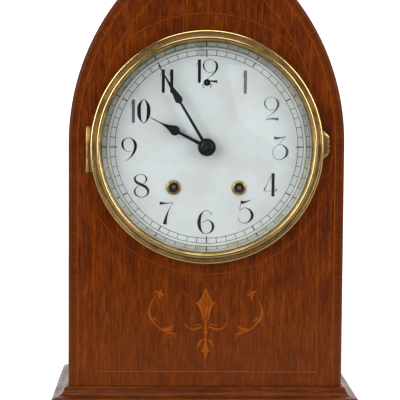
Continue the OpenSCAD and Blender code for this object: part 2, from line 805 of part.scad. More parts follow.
pillar_end_r = 1.8;
module back_plate() color([0.78, 0.64, 0.34]) at_dial()
    slab(rear_plate_y, rear_y) difference() {
        plate_shape();
        for (p = pillar_at) translate(p) circle(pillar_end_r + run_fit);
        for (p = [time_main_at, strike_main_at]) translate(p) circle(winder_pivot_r + run_fit);
        translate(centre_at) circle(pivot_r + run_fit);
        pivot_holes();
    }

// Pillars with a waist, riveted in the front plate and threaded for nuts behind the rear one
module pillars() color([0.55, 0.52, 0.48]) at_dial()
    for (p = pillar_at) {
        translate([p[0], 0, p[1]]) rotate([90, 0, 0]) rotate_extrude() polygon([
            [0, -plate_y], [pillar_end_r, -plate_y], [pillar_end_r, -gap_y], [pillar_r, -gap_y],
            [pillar_r, -gap_y - 4], [pillar_r - 0.5, -gap_y - 5],
            [pillar_r - 0.5, -rear_plate_y + 5], [pillar_r, -rear_plate_y + 4],
            [pillar_r, -rear_plate_y], [pillar_end_r, -rear_plate_y],
            [pillar_end_r, -rear_y - nut_t - 0.6], [0, -rear_y - nut_t - 0.6]]);
    }

nut_t = 2.4;
module pillar_nuts() color([0.50, 0.50, 0.52]) at_dial()
    for (p = pillar_at) slab(rear_y, rear_y + nut_t) translate(p) difference() {
        circle(4, $fn = 6);
        circle(pillar_end_r + run_fit);
    }

// Motion work: the cannon pinion drives the minute wheel, whose pinion drives the hour wheel
module minute_pipe() color([0.80, 0.66, 0.34]) at_dial() difference() {
    union() {
        rod(centre_at, minute_hand_y, plate_y - 0.4, cannon_r);
        pinion(centre_at, cannon_pinion_y - 0.3, plate_y - 0.4, cannon_leaves, cannon_m, 0);
    }
    rod(centre_at, minute_hand_y - 1, plate_y, centre_arbor_r + run_fit);
}

module motion_wheel() color([0.80, 0.66, 0.34]) at_dial() difference() {
    union() {
        wheel(motion_at, cannon_pinion_y + 0.6, wheel_t, motion_teeth, cannon_m, motion_turn,
            hub_r = 2.6, rim = 1.6);
        pinion(motion_at, hour_wheel_y - 0.4, cannon_pinion_y + 0.6 + eps, motion_leaves,
            motion_m, 0);
    }
    rod(motion_at, hour_wheel_y - 2, plate_y, stud_r + run_fit);
}

module hour_wheel() color([0.80, 0.66, 0.34]) at_dial() difference() {
    union() {
        wheel(centre_at, hour_wheel_y, wheel_t, hour_teeth, motion_m, hour_turn_teeth,
            hub_r = 4.6, rim = 1.6);
        rod(centre_at, hour_hand_y, hour_wheel_y + wheel_t, hour_pipe_r);
    }
    rod(centre_at, hour_hand_y - 1, hour_wheel_y + wheel_t + 1, cannon_r + run_fit);
}

// The going train
module centre_wheel() color([0.82, 0.68, 0.36]) at_dial() {
    wheel(centre_at, centre_wheel_y, wheel_t, centre_teeth, centre_m, 0);
    pinion(centre_at, second_wheel_y - mesh_over, second_wheel_y + wheel_t + 0.4,
        centre_leaves, second_m, centre_turn);
    difference() {
        rod(centre_at, minute_hand_y - washer_t - 2.2, rear_plate_y - end_shake, centre_arbor_r);
        taper_pin(taper_pin_r + 0.02);
    }
    rod(centre_at, rear_plate_y - 1, rear_y - 0.2, pivot_r);
}

// A great wheel with the stud that carries its click
click_r = 13.5;
click_at = 28;
module great_wheel(at, turn, side) {
    difference() {
        wheel(at, great_y, great_t, main_teeth, main_m, turn, hub_r = 16, rim = 2.4);
        rod(at, great_y - 1, great_y + great_t + 1, winder_r + run_fit);
    }
    rod(click_pivot(at, side), ratchet_y + 0.2, great_y + eps, stud_r);
}
// A click's pivot beside the ratchet of a winding arbor
function click_pivot(at, side) = away(at, click_r, side > 0 ? click_at : 180 - click_at);

module time_main_wheel() color([0.82, 0.68, 0.36]) at_dial() great_wheel(time_main_at, 0, 1);

module strike_main_wheel() color([0.82, 0.68, 0.36]) at_dial()
    great_wheel(strike_main_at, 0, -1);

// A winding arbor with its square, its ratchet and its pivot
ratchet_teeth = 12;
ratchet_r = 9;
ratchet_root_r = 7.2;
module winding_arbor(at, side) {
    rod(at, front_t, ratchet_y, winder_front_r);
    rod(at, ratchet_y, rear_plate_y - end_shake, winder_r);
    rod(at, rear_plate_y - 1, rear_y - 0.2, winder_pivot_r);
    slab(dial_set - 3.2, front_t + eps) translate(at) square(square_w, center = true);
    slab(ratchet_y, ratchet_y + ratchet_t) translate(at) mirror([side > 0 ? 0 : 1, 0])
        polygon([for (i = [0 : ratchet_teeth - 1]) for (r = [ratchet_r, ratchet_root_r])
            let (a = i * 360 / ratchet_teeth) [r * cos(a), r * sin(a)]]);
}

module time_winding_arbor() color([0.60, 0.60, 0.62]) at_dial() winding_arbor(time_main_at, 1);

module strike_winding_arbor() color([0.60, 0.60, 0.62]) at_dial()
    winding_arbor(strike_main_at, -1);

// A click: a nose that drops behind a ratchet tooth, on a boss round the stud
module click(at, side) {
    slab(ratchet_y, ratchet_y + ratchet_t - 0.2) translate(at) mirror([side > 0 ? 0 : 1, 0])
        difference() {
            union() {
                translate(away([0, 0], click_r, click_at)) circle(2.4);
                polygon([away([0, 0], ratchet_root_r + 1.1, 9), away([0, 0], ratchet_r + 1.6, 7),
                    away([0, 0], click_r + 2, click_at - 4),
                    away([0, 0], click_r - 1.6, click_at + 5)]);
            }
            translate(away([0, 0], click_r, click_at)) circle(stud_r + run_fit);
        }
}

module time_click() color([0.55, 0.55, 0.58]) at_dial() click(time_main_at, 1);

module strike_click() color([0.55, 0.55, 0.58]) at_dial() click(strike_main_at, -1);

// A mainspring as half turns about two centres, its outer end looped round a pillar
spring_in_r = winder_r + 0.3 + spring_t / 2;
spring_out_r = 21.6;
// Lengths are rounded to a micrometre so that the ends of the turns meet exactly
function micron(x) = round(x * 1000) / 1000;
spring_pitch = 2 * micron((spring_out_r - spring_in_r) / spring_turns / 2);
module mainspring(at, post) {
    v = post - at;
    last_r = spring_in_r + spring_turns * spring_pitch;
    loop_r = pillar_r + 0.15 + spring_t / 2;
    reach = last_r + 2 * micron((norm(v) - loop_r - last_r) / 2);
    y0 = spring_y;
    y1 = spring_y + spring_w;
    translate([at[0], 0, at[1]]) rotate([0, -atan2(v[1], v[0]), 0]) {
        for (i = [0 : spring_turns - 1]) {
            r = spring_in_r + i * spring_pitch;
            band(r, spring_t, y0, y1);
            translate([spring_pitch / 2, 0, 0]) rotate([0, 180, 0])
                band(r + spring_pitch / 2, spring_t, y0, y1);
        }
        band(last_r, spring_t, y0, y1);
        translate([(reach - last_r) / 2, 0, 0]) rotate([0, 180, 0])
            band((reach + last_r) / 2, spring_t, y0, y1);
        translate([reach + loop_r, 0, 0]) {
            band(loop_r, spring_t, y0, y1);
            rotate([0, 90, 0]) band(loop_r, spring_t, y0, y1, 90);
        }
    }
}
echo(least_gap_in_mainspring = spring_pitch - spring_t);

module time_mainspring() color([0.35, 0.37, 0.42]) at_dial()
    mainspring(time_main_at, pillar_at[0]);

module strike_mainspring() color([0.35, 0.37, 0.42]) at_dial()
    mainspring(strike_main_at, pillar_at[1]);

module time_second_wheel() color([0.82, 0.68, 0.36]) at_dial() {
    wheel(time_second_at, second_wheel_y, wheel_t, second_teeth, second_m, 0);
    pinion(time_second_at, great_y - mesh_over, great_y + great_t + mesh_over, second_leaves,
        main_m, second_turn);
    arbor(time_second_at, second_arbor_r);
}

module third_wheel() color([0.82, 0.68, 0.36]) at_dial() {
    wheel(third_at, third_wheel_y, wheel_t, third_teeth, third_m, 0);
    pinion(third_at, centre_wheel_y - mesh_over, centre_wheel_y + wheel_t + mesh_over,
        third_leaves, centre_m, third_turn);
    arbor(third_at, arbor_r);
}

// The escape wheel has pointed teeth that lean the way it turns
escape_r = 13.4;
escape_root_r = 11.4;
module escape_wheel() color([0.84, 0.70, 0.38]) at_dial() {
    slab(escape_wheel_y, escape_wheel_y + wheel_t) translate(escape_at) difference() {
        polygon([for (i = [0 : escape_teeth - 1])
            for (c = [[escape_root_r, 0], [escape_r, 5.2], [escape_r, 6], [escape_root_r, 3.4]])
                let (a = i * 360 / escape_teeth + c[1]) [c[0] * cos(a), c[0] * sin(a)]]);
        difference() {
            circle(escape_root_r - 1.8);
            circle(3);
            for (a = [0 : 90 : 270]) rotate(a) translate([0, -0.8]) square([escape_r, 1.6]);
        }
    }
    pinion(escape_at, third_wheel_y - mesh_over, third_wheel_y + wheel_t + mesh_over,
        escape_leaves, third_m, escape_turn);
    arbor(escape_at, arbor_r);
}

// The verge: its bent strip reaches down past the escape wheel, and the crutch hangs behind
pallet_gap = 1.3;
pallet_span = 42;
crutch_l = 38;
fork_gap = 0.2;
module verge() color([0.62, 0.62, 0.64]) at_dial() {
    nib = escape_r + pallet_gap;
    slab(escape_wheel_y - 1, escape_wheel_y + 2) {
        translate(verge_at) circle(2.4);
        for (s = [-1, 1]) {
            tip = away(escape_at, nib, 90 + s * pallet_span);
            high = away(escape_at, nib + 1.6, 90 + s * (pallet_span + 2));
            polygon([tip, away(escape_at, nib + 0.2, 90 + s * (pallet_span + 5)),
                away(escape_at, nib + 3.4, 90 + s * (pallet_span + 4)),
                [s * -1.6, verge_at[1] + 1.6], [s * -1.8, verge_at[1] - 1.2], high]);
        }
    }
    rod(verge_at, plate_y + 0.2, crutch_y + crutch_t, arbor_r);
    rod(verge_at, crutch_y, crutch_y + crutch_t, 2.4);
    slab(crutch_y, crutch_y + crutch_t) translate([-0.8, verge_at[1] - crutch_l])
        square([1.6, crutch_l]);
    for (s = [-1, 1])
        translate([s * (pendulum_rod_r + fork_gap + 0.5) - 0.5, crutch_y, verge_at[1] - crutch_l - 1])
            cube([1, rod_y + pendulum_rod_r + 1.2 - crutch_y, 2]);
    translate([-pendulum_rod_r - fork_gap - 1, crutch_y, verge_at[1] - crutch_l - 1])
        cube([2 * (pendulum_rod_r + fork_gap + 1), crutch_t, 2]);
}

// The striking train
module strike_second_wheel() color([0.82, 0.68, 0.36]) at_dial() {
    wheel(strike_second_at, strike_second_y, wheel_t, strike_second_teeth, strike_second_m, 0);
    pinion(strike_second_at, great_y - mesh_over, great_y + great_t + mesh_over,
        second_leaves, main_m, strike_second_turn);
    rod(strike_second_at, gap_y + end_shake, rear_plate_y - end_shake, second_arbor_r);
    rod(strike_second_at, plate_y + 0.2, count_wheel_y + 1.6, pivot_r);
}

// The count wheel has a notch after each hour's blows, and one for the half hour
count_r = 17;
count_root_r = 15.4;
count_t = 0.9;
blows = [for (h = [1 : 12]) each [h, 1]];
function blows_before(i) = i == 0 ? 0 : blows[i - 1] + blows_before(i - 1);
module count_wheel() color([0.80, 0.66, 0.34]) at_dial()
    slab(count_wheel_y, count_wheel_y + count_t) translate(strike_second_at) difference() {
        circle(count_r);
        circle(pivot_r + 0.02, $fn = 24);
        for (i = [0 : len(blows) - 1])
            rotate(blows_before(i) * 360 / 90) translate([count_root_r, -0.45]) square([3, 0.9]);
        difference() {
            circle(count_root_r - 2.2);
            circle(3.4);
            for (a = [0 : 90 : 270]) rotate(a) translate([0, -1]) square([count_r, 2]);
        }
    }

module pin_wheel() color([0.82, 0.68, 0.36]) at_dial() {
    wheel(pin_at, pin_wheel_y, wheel_t, pin_teeth, pin_m, 0, rim = 3.4);
    pinion(pin_at, strike_second_y - mesh_over, strike_second_y + wheel_t + 0.6, pin_leaves,
        strike_second_m, pin_turn);
    arbor(pin_at, arbor_r);
    for (i = [0 : pin_count - 1])
        rod(away(pin_at, pin_r, i * 360 / pin_count), pin_wheel_y + wheel_t - eps,
            pin_wheel_y + wheel_t + 2.2, 0.5);
}
pin_r = pin_teeth * pin_m / 2 - 2.2;

module locking_wheel() color([0.82, 0.68, 0.36]) at_dial() {
    wheel(locking_at, locking_wheel_y, wheel_t, locking_teeth, locking_m, 0);
    pinion(locking_at, pin_wheel_y - mesh_over, pin_wheel_y + wheel_t + mesh_over,
        locking_leaves, pin_m, locking_turn);
    arbor(locking_at, arbor_r);
    rod(away(locking_at, 8.6, 70), locking_wheel_y - 2.4, locking_wheel_y + eps, 0.45);
}

module warning_wheel() color([0.82, 0.68, 0.36]) at_dial() {
    wheel(warning_at, warning_wheel_y, wheel_t, warning_teeth, warning_m, 0);
    pinion(warning_at, locking_wheel_y - mesh_over, locking_wheel_y + wheel_t + mesh_over,
        warning_leaves, locking_m, warning_turn);
    arbor(warning_at, arbor_r);
    rod(away(warning_at, 7, 200), warning_wheel_y + wheel_t - eps, warning_wheel_y + wheel_t + 2,
        0.45);
}

// The fly: a thin vane that beats the air and slows the striking
fly_reach = 7;
fly_w = 13;
module fly() color([0.80, 0.68, 0.40]) at_dial() {
    pinion(fly_at, warning_wheel_y - mesh_over, warning_wheel_y + wheel_t + mesh_over,
        fly_leaves, warning_m, fly_turn);
    arbor(fly_at, arbor_r);
    vane_y = warning_wheel_y + wheel_t + 6;
    slab(vane_y, vane_y + fly_w) translate(fly_at) rotate(35) union() {
        translate([-fly_reach, -0.25]) square([2 * fly_reach, 0.5]);
        circle(1.5);
    }
}

// The count lever: a finger near the locking pin inside, and a hook over the count wheel
module count_lever() color([0.58, 0.58, 0.60]) at_dial() {
    rod(lever_at, plate_y + 0.2, count_wheel_y + 1.2, arbor_r);
    slab(locking_wheel_y - 2.2, locking_wheel_y - 1.2) {
        translate(lever_at) circle(2.2);
        polygon([lever_at + [0, -1.2], lever_at + [7.4, 4.6], lever_at + [7.4, 6.2],
            lever_at + [0, 1.2]]);
    }
    hook = away(strike_second_at, count_r + 0.5, 152);
    slab(count_wheel_y, count_wheel_y + count_t) {
        translate(lever_at) circle(2.2);
        polygon([lever_at + [-1.2, 0], lever_at + [1.2, 0], hook + [1.1, 1.8], hook,
            hook + [-0.9, 0.5], hook + [-1.6, 2.2]]);
    }
}

// The hammer: a tail beside the pin wheel, a long bent wire and a head over the gong
hammer_wire_r = 1;
hammer_head_r = 4.5;
hammer_head_l = 13;
gong_rel = [0, gong_z - dial_z];
strike_point = away(gong_rel, gong_r + gong_wire_r, hammer_hit);
head_end = away(strike_point, hammer_head_l + 0.8, hammer_hit);
head_mid = away(strike_point, hammer_head_l * 0.6, hammer_hit);
// A round wire between two points in space
module wire(a, b, r) {
    d = b - a;
    translate(a) rotate([0, acos(d[2] / norm(d)), atan2(d[1], d[0])])
        cylinder(h = norm(d), r = r, $fn = 24);
}
module hammer() color([0.66, 0.60, 0.45]) at_dial() {
    rod(hammer_at, plate_y + 0.2, gong_y, hammer_wire_r - 0.1);
    slab(pin_wheel_y + wheel_t + 1, pin_wheel_y + wheel_t + 2.2) {
        translate(hammer_at) circle(2.4);
        polygon([hammer_at + [-1.4, 0], hammer_at + [1.4, -0.6], hammer_at + [3.4, 2.6],
            hammer_at + [2.2, 4]]);
    }
    translate([hammer_at[0], gong_y, hammer_at[1]]) sphere(hammer_wire_r + 0.2, $fn = 24);
    wire([hammer_at[0], gong_y, hammer_at[1]], [head_mid[0], gong_y, head_mid[1]], hammer_wire_r);
    wire([strike_point[0] + 0.8 * cos(hammer_hit), gong_y, strike_point[1] + 0.8 * sin(hammer_hit)],
        [head_end[0], gong_y, head_end[1]], hammer_head_r);
}

// The gong: a coil of half turns about two centres, its inner end in the stand's boss
module half_wire(r) {
    rotate([90, 0, 0]) rotate_extrude(angle = 180, $fn = 96)
        translate([r, 0]) circle(gong_wire_r, $fn = 24);
}
module gong() color([0.38, 0.40, 0.46]) in_case() translate([0, gong_y, gong_z]) {
    for (i = [0 : gong_turns - 1]) {
        r = gong_in_r + i * gong_pitch;
        half_wire(r);
        translate([gong_pitch / 2, 0, 0]) rotate([0, 180, 0]) half_wire(r + gong_pitch / 2);
    }
    translate([gong_boss_r - 2, 0, 0]) rotate([0, 90, 0])
        cylinder(h = gong_in_r - gong_boss_r + 2, r = gong_wire_r, $fn = 24);
}
echo(least_gap_in_gong = gong_pitch - 2 * gong_wire_r);

module gong_stand() color([0.20, 0.20, 0.21]) in_case() difference() {
    union() {
        translate([-14, gong_y - 4, base_h]) cube([28, 18, 5]);
        translate([-4, gong_y + 4, base_h]) cube([8, 6, gong_up]);
        rod([0, gong_z], gong_y - 3, gong_y + 10, gong_boss_r);
    }
    translate([gong_boss_r - 2.5, gong_y, gong_z]) rotate([0, 90, 0])
        cylinder(h = 6, r = gong_wire_r + 0.02, $fn = 24);
}

// The suspension: the cock holds the top of the strip, a slit block below it sets its length
module suspension_cock() color([0.76, 0.62, 0.32]) at_dial() {
    translate([-8, rear_y, 68]) cube([16, 4.4, 7.6]);
    translate([-3, rear_y + 4, 68]) cube([6, strip_y + strip_w + 1 - rear_y - 4, 7.6]);
    translate([-strip_t / 2, strip_y, verge_at[1] + 2.8]) cube([strip_t, strip_w, 6]);
}

slide_leaves = 10;
slide_m = 0.6;
slide_pitch_r = slide_leaves * slide_m / 2;
module regulator_arbor() color([0.66, 0.66, 0.68]) at_dial() {
    rod(regulator_at, dial_set + dial_t + 1, rack_y + rack_t, regulator_r);
    slab(dial_set - 1.6, dial_set + dial_t + 1 + eps) translate(regulator_at)
        square(1.7, center = true);
    pinion(regulator_at, rear_y + 1.3, rack_y + rack_t, slide_leaves, slide_m, 18);
}

// The rating slide: a rack beside the regulator's pinion, carrying the slit block
module rating_slide() color([0.80, 0.66, 0.34]) at_dial() {
    pitch = PI * slide_m;
    x0 = slide_pitch_r + slide_m * 1.3;
    slab(rack_y, rack_y + rack_t) {
        translate([x0, regulator_up - 12]) square([2.6, verge_at[1] + slide_block_h - regulator_up + 12]);
        for (i = [-4 : 4])
            translate([0, regulator_up + i * pitch]) polygon([
                [x0 + eps, -pitch * 0.24], [slide_pitch_r, -pitch * 0.2],
                [slide_pitch_r - slide_m * 0.6, -pitch * 0.09],
                [slide_pitch_r - slide_m * 0.6, pitch * 0.09],
                [slide_pitch_r, pitch * 0.2], [x0 + eps, pitch * 0.24]]);
    }
    translate([x0, rack_y, verge_at[1]]) cube([2.6, strip_y + strip_w - rack_y, slide_block_h]);
    difference() {
        translate([-3, strip_y - 0.9, verge_at[1]])
            cube([x0 + 3 + eps, strip_w + 1.3, slide_block_h]);
        translate([-slit / 2, strip_y - 0.2, verge_at[1] - 1])
            cube([slit, strip_w + 2, slide_block_h + 2]);
    }
}

// The strip that bends, in a brass clip at its foot
clip_z = 12;
module suspension_spring() color([0.70, 0.72, 0.76]) at_dial()
    translate([-strip_t / 2, strip_y, verge_at[1] - clip_z])
        cube([strip_t, strip_w, clip_z + 2.4]);

module pendulum_rod() color([0.62, 0.58, 0.50]) at_dial() {
    clip_top = verge_at[1] - clip_z + 3;
    difference() {
        translate([-1.6, strip_y - 0.6, clip_top - 7]) cube([3.2, strip_w + 1.2, 7]);
        translate([-strip_t / 2 - 0.02, strip_y - 0.02, clip_top - 3.1])
            cube([strip_t + 0.04, strip_w + 0.04, 4]);
    }
    rod_foot = bob_z - bob_r - 5;
    translate([0, rod_y, rod_foot]) cylinder(h = clip_top - 6 - rod_foot, r = pendulum_rod_r, $fn = 24);
    translate([0, rod_y, rod_foot + 1]) cylinder(h = 3.6, r = 2.8, $fn = 24);
}

module pendulum_bob() color([0.80, 0.64, 0.30]) at_dial() difference() {
    bow_r = (bob_r * bob_r + bob_t * bob_t / 4) / bob_t;
    translate([0, rod_y, bob_z]) rotate([90, 0, 0]) rotate_extrude() intersection() {
        translate([0, bow_r - bob_t / 2]) circle(bow_r, $fn = 144);
        translate([0, bob_t / 2 - bow_r]) circle(bow_r, $fn = 144);
        translate([0, -bob_t]) square([bob_r, 2 * bob_t]);
    }
    translate([0, rod_y, bob_z - bob_r - 1])
        cylinder(h = 2 * bob_r + 2, r = pendulum_rod_r + 0.1, $fn = 24);
}
front_board();
left_side();
right_side();
back_board();
base_board();
base_front_moulding();
base_side_mouldings();
back_door();
door_hinge_frames();
door_hinge_leaves();
turn_button();
wood_screws();
dial();
sight_ring();
winding_grommets();
mounting_ring();
bezel_ring();
bezel_hinge_pin();
bezel_tab();
glass();
glass_retainer();
minute_hand();
hour_hand();
hand_washer();
front_plate();
back_plate();
pillars();
pillar_nuts();
minute_pipe();
hour_wheel();
motion_wheel();
centre_wheel();
time_main_wheel();
time_winding_arbor();
time_click();
time_mainspring();
time_second_wheel();
third_wheel();
escape_wheel();
verge();
strike_main_wheel();
strike_winding_arbor();
strike_click();
strike_mainspring();
strike_second_wheel();
count_wheel();
pin_wheel();
locking_wheel();
warning_wheel();
fly();
count_lever();
hammer();
gong();
gong_stand();
suspension_cock();
regulator_arbor();
rating_slide();
suspension_spring();
pendulum_rod();
pendulum_bob();
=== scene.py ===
import json
import math

import bmesh
import bpy
import numpy as np
from mathutils import Matrix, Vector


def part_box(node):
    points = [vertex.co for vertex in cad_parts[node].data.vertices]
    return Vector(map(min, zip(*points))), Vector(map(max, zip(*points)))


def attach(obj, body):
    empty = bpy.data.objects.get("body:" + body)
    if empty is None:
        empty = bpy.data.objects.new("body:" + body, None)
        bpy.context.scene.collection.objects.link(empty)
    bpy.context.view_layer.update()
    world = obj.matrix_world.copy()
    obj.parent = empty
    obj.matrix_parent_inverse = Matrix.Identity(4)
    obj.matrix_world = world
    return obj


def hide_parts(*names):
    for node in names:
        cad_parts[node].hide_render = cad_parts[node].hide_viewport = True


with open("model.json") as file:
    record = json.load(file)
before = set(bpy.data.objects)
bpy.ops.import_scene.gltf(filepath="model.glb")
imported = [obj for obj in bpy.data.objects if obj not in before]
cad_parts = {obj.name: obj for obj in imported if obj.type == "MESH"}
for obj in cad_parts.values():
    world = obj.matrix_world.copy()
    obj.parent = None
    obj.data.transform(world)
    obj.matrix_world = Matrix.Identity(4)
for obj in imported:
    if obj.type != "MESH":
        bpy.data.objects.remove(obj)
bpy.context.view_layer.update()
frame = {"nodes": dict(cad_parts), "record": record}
nodes = frame["nodes"]
mm = 0.001
bodyOf = {node: body for body, group in frame["record"]["behaviour"]["bodies"].items() for node in group}
print("frame loaded:", len(nodes), "nodes")

# Landmarks of the case and dial, taken from the frame
caseShape = {"archRadius": 0.178}  # radius of each flank of the pointed arch
boardLow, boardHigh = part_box("front_board")
dialLow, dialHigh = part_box("dial")
faceY = boardLow.y
halfWidth = boardHigh.x
baseTop = boardLow.z
archOffset = caseShape["archRadius"] - halfWidth  # how far each arch centre lies past the middle
springZ = boardHigh.z - math.sqrt(caseShape["archRadius"] ** 2 - archOffset ** 2)
dialX, dialZ, dialY = (dialLow.x + dialHigh.x) / 2, (dialLow.z + dialHigh.z) / 2, dialLow.y


def rgb(red, green, blue):
    # A colour as seen on screen, 0 to 255, made linear
    return tuple(((c / 255 + 0.055) / 1.055) ** 2.4 for c in (red, green, blue)) + (1,)


# Meshes

def linked(name, data):
    # A new object, placed in the scene
    piece = bpy.data.objects.new(name, data)
    bpy.context.scene.collection.objects.link(piece)
    return piece


def newPiece(name, verts, faces, finish, body, tone=None):
    # A piece of its own: its mesh, its finish and the body that it rides on
    mesh = bpy.data.meshes.new(name)
    mesh.from_pydata(verts.tolist(), [], [f.tolist() for f in faces])
    if tone is not None:
        mesh.attributes.new("tone", "FLOAT", "POINT").data.foreach_set("value", tone.astype(np.float32))
    mesh.materials.append(finish)
    mesh.update()
    piece = linked(name, mesh)
    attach(piece, body)
    return piece


def gather(parts):
    # Joins (points, faces, tone) parts into one mesh's arrays; a tone is one number or one for each point
    starts = np.cumsum([0] + [len(p[0]) for p in parts])
    verts = np.concatenate([p[0] for p in parts])
    faces = [f + s for p, s in zip(parts, starts) for f in p[1]]
    tone = np.concatenate([np.full(len(p[0]), p[2]) for p in parts])
    return verts, faces, tone


def through(points, steps):
    # Smooth curve through the rows of points: each span is a cubic that leaves and meets its points evenly
    p = np.asarray(points, float)
    p = np.vstack([2 * p[0] - p[1], p, 2 * p[-1] - p[-2]])
    t = np.linspace(0, len(p) - 3, steps)
    i = np.minimum(t.astype(int), len(p) - 4)
    u = (t - i)[:, None]
    a, b, c, d = p[i], p[i + 1], p[i + 2], p[i + 3]
    square, cube = 2 * a - 5 * b + 4 * c - d, 3 * b - a - 3 * c + d
    return 0.5 * (2 * b + (c - a) * u + square * u ** 2 + cube * u ** 3)


def ringFaces(rows, spokes):
    # Four-sided faces between each ring of points and the next
    i = np.arange(rows - 1)[:, None] * spokes
    k = np.arange(spokes)
    m = (k + 1) % spokes
    return np.stack([i + k, i + m, i + spokes + m, i + spokes + k], axis=2).reshape(-1, 4)


def slabBetween(left, right, front, depth, tone):
    # Thin closed slab that faces the front, its outline running between two edges given as (x, z) rows
    n = len(left)
    outline = np.vstack([left, right[::-1]])
    turned = np.roll(outline, -1, axis=0)
    area = np.sum(outline[:, 0] * turned[:, 1] - turned[:, 0] * outline[:, 1])
    if area > 0:
        left, right = right, left
    verts = np.empty((n, 4, 3))
    verts[:, :, 0::2] = np.stack([left, right, right, left], axis=1)
    verts[:, :, 1] = [front, front, front + depth, front + depth]
    ends = np.array([[0, 3, 2, 1], [4 * n - 4, 4 * n - 3, 4 * n - 2, 4 * n - 1]])
    return verts.reshape(-1, 3), np.vstack([ringFaces(n, 4), ends]), tone


def smoothed(mesh, sharp):
    # Merges the seams, turns the faces outwards and shades smooth up to the sharp angle, in degrees
    work = bmesh.new()
    work.from_mesh(mesh)
    bmesh.ops.remove_doubles(work, verts=work.verts, dist=0.000002)
    bmesh.ops.recalc_face_normals(work, faces=work.faces)
    work.to_mesh(mesh)
    work.free()
    mesh.shade_smooth()
    mesh.set_sharp_from_angle(angle=math.radians(sharp))


def smoothCopy(node, finish, sharp=32, edge=0.0):
    # Stands for a node: a merged copy of its mesh, shaded smooth, with its edges rounded by a bevel
    mesh = nodes[node].data.copy()
    mesh.materials.clear()
    mesh.materials.append(finish)
    smoothed(mesh, sharp)
    piece = linked(node + "_smooth", mesh)
    if edge:
        work = bmesh.new()
        work.from_mesh(mesh)
        bmesh.ops.dissolve_limit(work, angle_limit=math.radians(0.3), verts=work.verts, edges=work.edges)
        work.to_mesh(mesh)
        work.free()
        bevel = piece.modifiers.new("edges", "BEVEL")
        bevel.width = edge
        bevel.segments = 2
        bevel.limit_method = "ANGLE"
        bevel.angle_limit = math.radians(40)
        bevel.harden_normals = True
    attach(piece, bodyOf[node])
    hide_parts(node)


def turnedAboutDial(profile, spokes):
    # Rows of (radius, depth) turned about the dial's axis: points, and the four-sided faces between rows
    radius, depth = np.asarray(profile, float).T
    angle = np.linspace(0, 2 * math.pi, spokes, endpoint=False)
    verts = np.stack([dialX + np.outer(radius, np.cos(angle)), np.repeat(depth[:, None], spokes, axis=1),
                      dialZ + np.outer(radius, np.sin(angle))], axis=2)
    return verts.reshape(-1, 3), ringFaces(len(radius), spokes)


def rays(angle):
    # Rows of (cosine, sine)
    return np.stack([np.cos(angle), np.sin(angle)], axis=-1)


def strokeEdges(curve):
    # Edges of a stroke: rows of (x, z, width) moved half the width to each side of the way along
    centre = curve[:, :2]
    way = np.gradient(centre, axis=0)
    way /= np.linalg.norm(way, axis=1)[:, None]
    side = np.stack([-way[:, 1], way[:, 0]], axis=1) * np.maximum(curve[:, 2:3], 0.00005) / 2
    return centre + side, centre - side


# Nodes of the finishes

def fill(tree, node, inputs):
    # Each input is a socket to link or a value to set
    for key, value in inputs.items():
        if isinstance(value, bpy.types.NodeSocket):
            tree.links.new(value, node.inputs[key])
        else:
            node.inputs[key].default_value = value


def put(tree, kind, inputs, **settings):
    # Adds a shader node and gives its first output
    node = tree.nodes.new("ShaderNode" + kind)
    for key, value in settings.items():
        setattr(node, key, value)
    fill(tree, node, inputs)
    return node.outputs[0]


def calc(tree, operation, a, b=0.0, clamp=False):
    return put(tree, "Math", {0: a, 1: b}, operation=operation, use_clamp=clamp)


def times(tree, a, b, **settings):
    return calc(tree, "MULTIPLY", a, b, **settings)


def minus(tree, a, b, **settings):
    return calc(tree, "SUBTRACT", a, b, **settings)


def weighted(tree, *terms):
    # Sum of value times weight over the terms
    total = 0.0
    for value, weight in terms:
        total = put(tree, "Math", {0: value, 1: weight, 2: total}, operation="MULTIPLY_ADD")
    return total


def remap(tree, value, low, high, newLow=0.0, newHigh=1.0, soft=False):
    inputs = {0: value, 1: low, 2: high, 3: newLow, 4: newHigh}
    return put(tree, "MapRange", inputs, interpolation_type="SMOOTHSTEP" if soft else "LINEAR")


def blendColour(tree, amount, a, b):
    return put(tree, "Mix", {0: amount, 6: a, 7: b}, data_type="RGBA").node.outputs[2]


def blend(tree, amount, a, b):
    return put(tree, "Mix", {0: amount, 2: a, 3: b}, data_type="FLOAT")


def noise(tree, vector, scale=1.0, detail=3.0, roughness=0.5, distortion=0.0):
    inputs = {"Vector": vector, "Scale": scale, "Detail": detail, "Roughness": roughness,
              "Distortion": distortion}
    return put(tree, "TexNoise", inputs)


def joined(tree, x, y, z):
    return put(tree, "CombineXYZ", {0: x, 1: y, 2: z})


def scaled(tree, vector, x, y, z):
    return put(tree, "VectorMath", {0: vector, 1: (x, y, z)}, operation="MULTIPLY")


def split(tree, vector):
    return put(tree, "SeparateXYZ", {0: vector}).node.outputs


def lengthOf(tree, vector):
    return put(tree, "VectorMath", {0: vector}, operation="LENGTH").node.outputs["Value"]


def reachFrom(tree, x, z, atX=dialX, atZ=dialZ):
    # Distance across the front from a point, as a rule the dial's middle
    return lengthOf(tree, joined(tree, minus(tree, x, atX), 0.0, minus(tree, z, atZ)))


def newGroup(name, inputs, outputs):
    # An empty node group; inputs and outputs are (name, socket kind) pairs
    tree = bpy.data.node_groups.new(name, "ShaderNodeTree")
    for side, sockets in (("INPUT", inputs), ("OUTPUT", outputs)):
        for label, kind in sockets:
            tree.interface.new_socket(name=label, in_out=side, socket_type="NodeSocket" + kind)
    return tree, tree.nodes.new("NodeGroupInput").outputs, tree.nodes.new("NodeGroupOutput").inputs


def useGroup(tree, group, inputs):
    node = tree.nodes.new("ShaderNodeGroup")
    node.node_tree = group
    fill(tree, node, inputs)
    return node.outputs


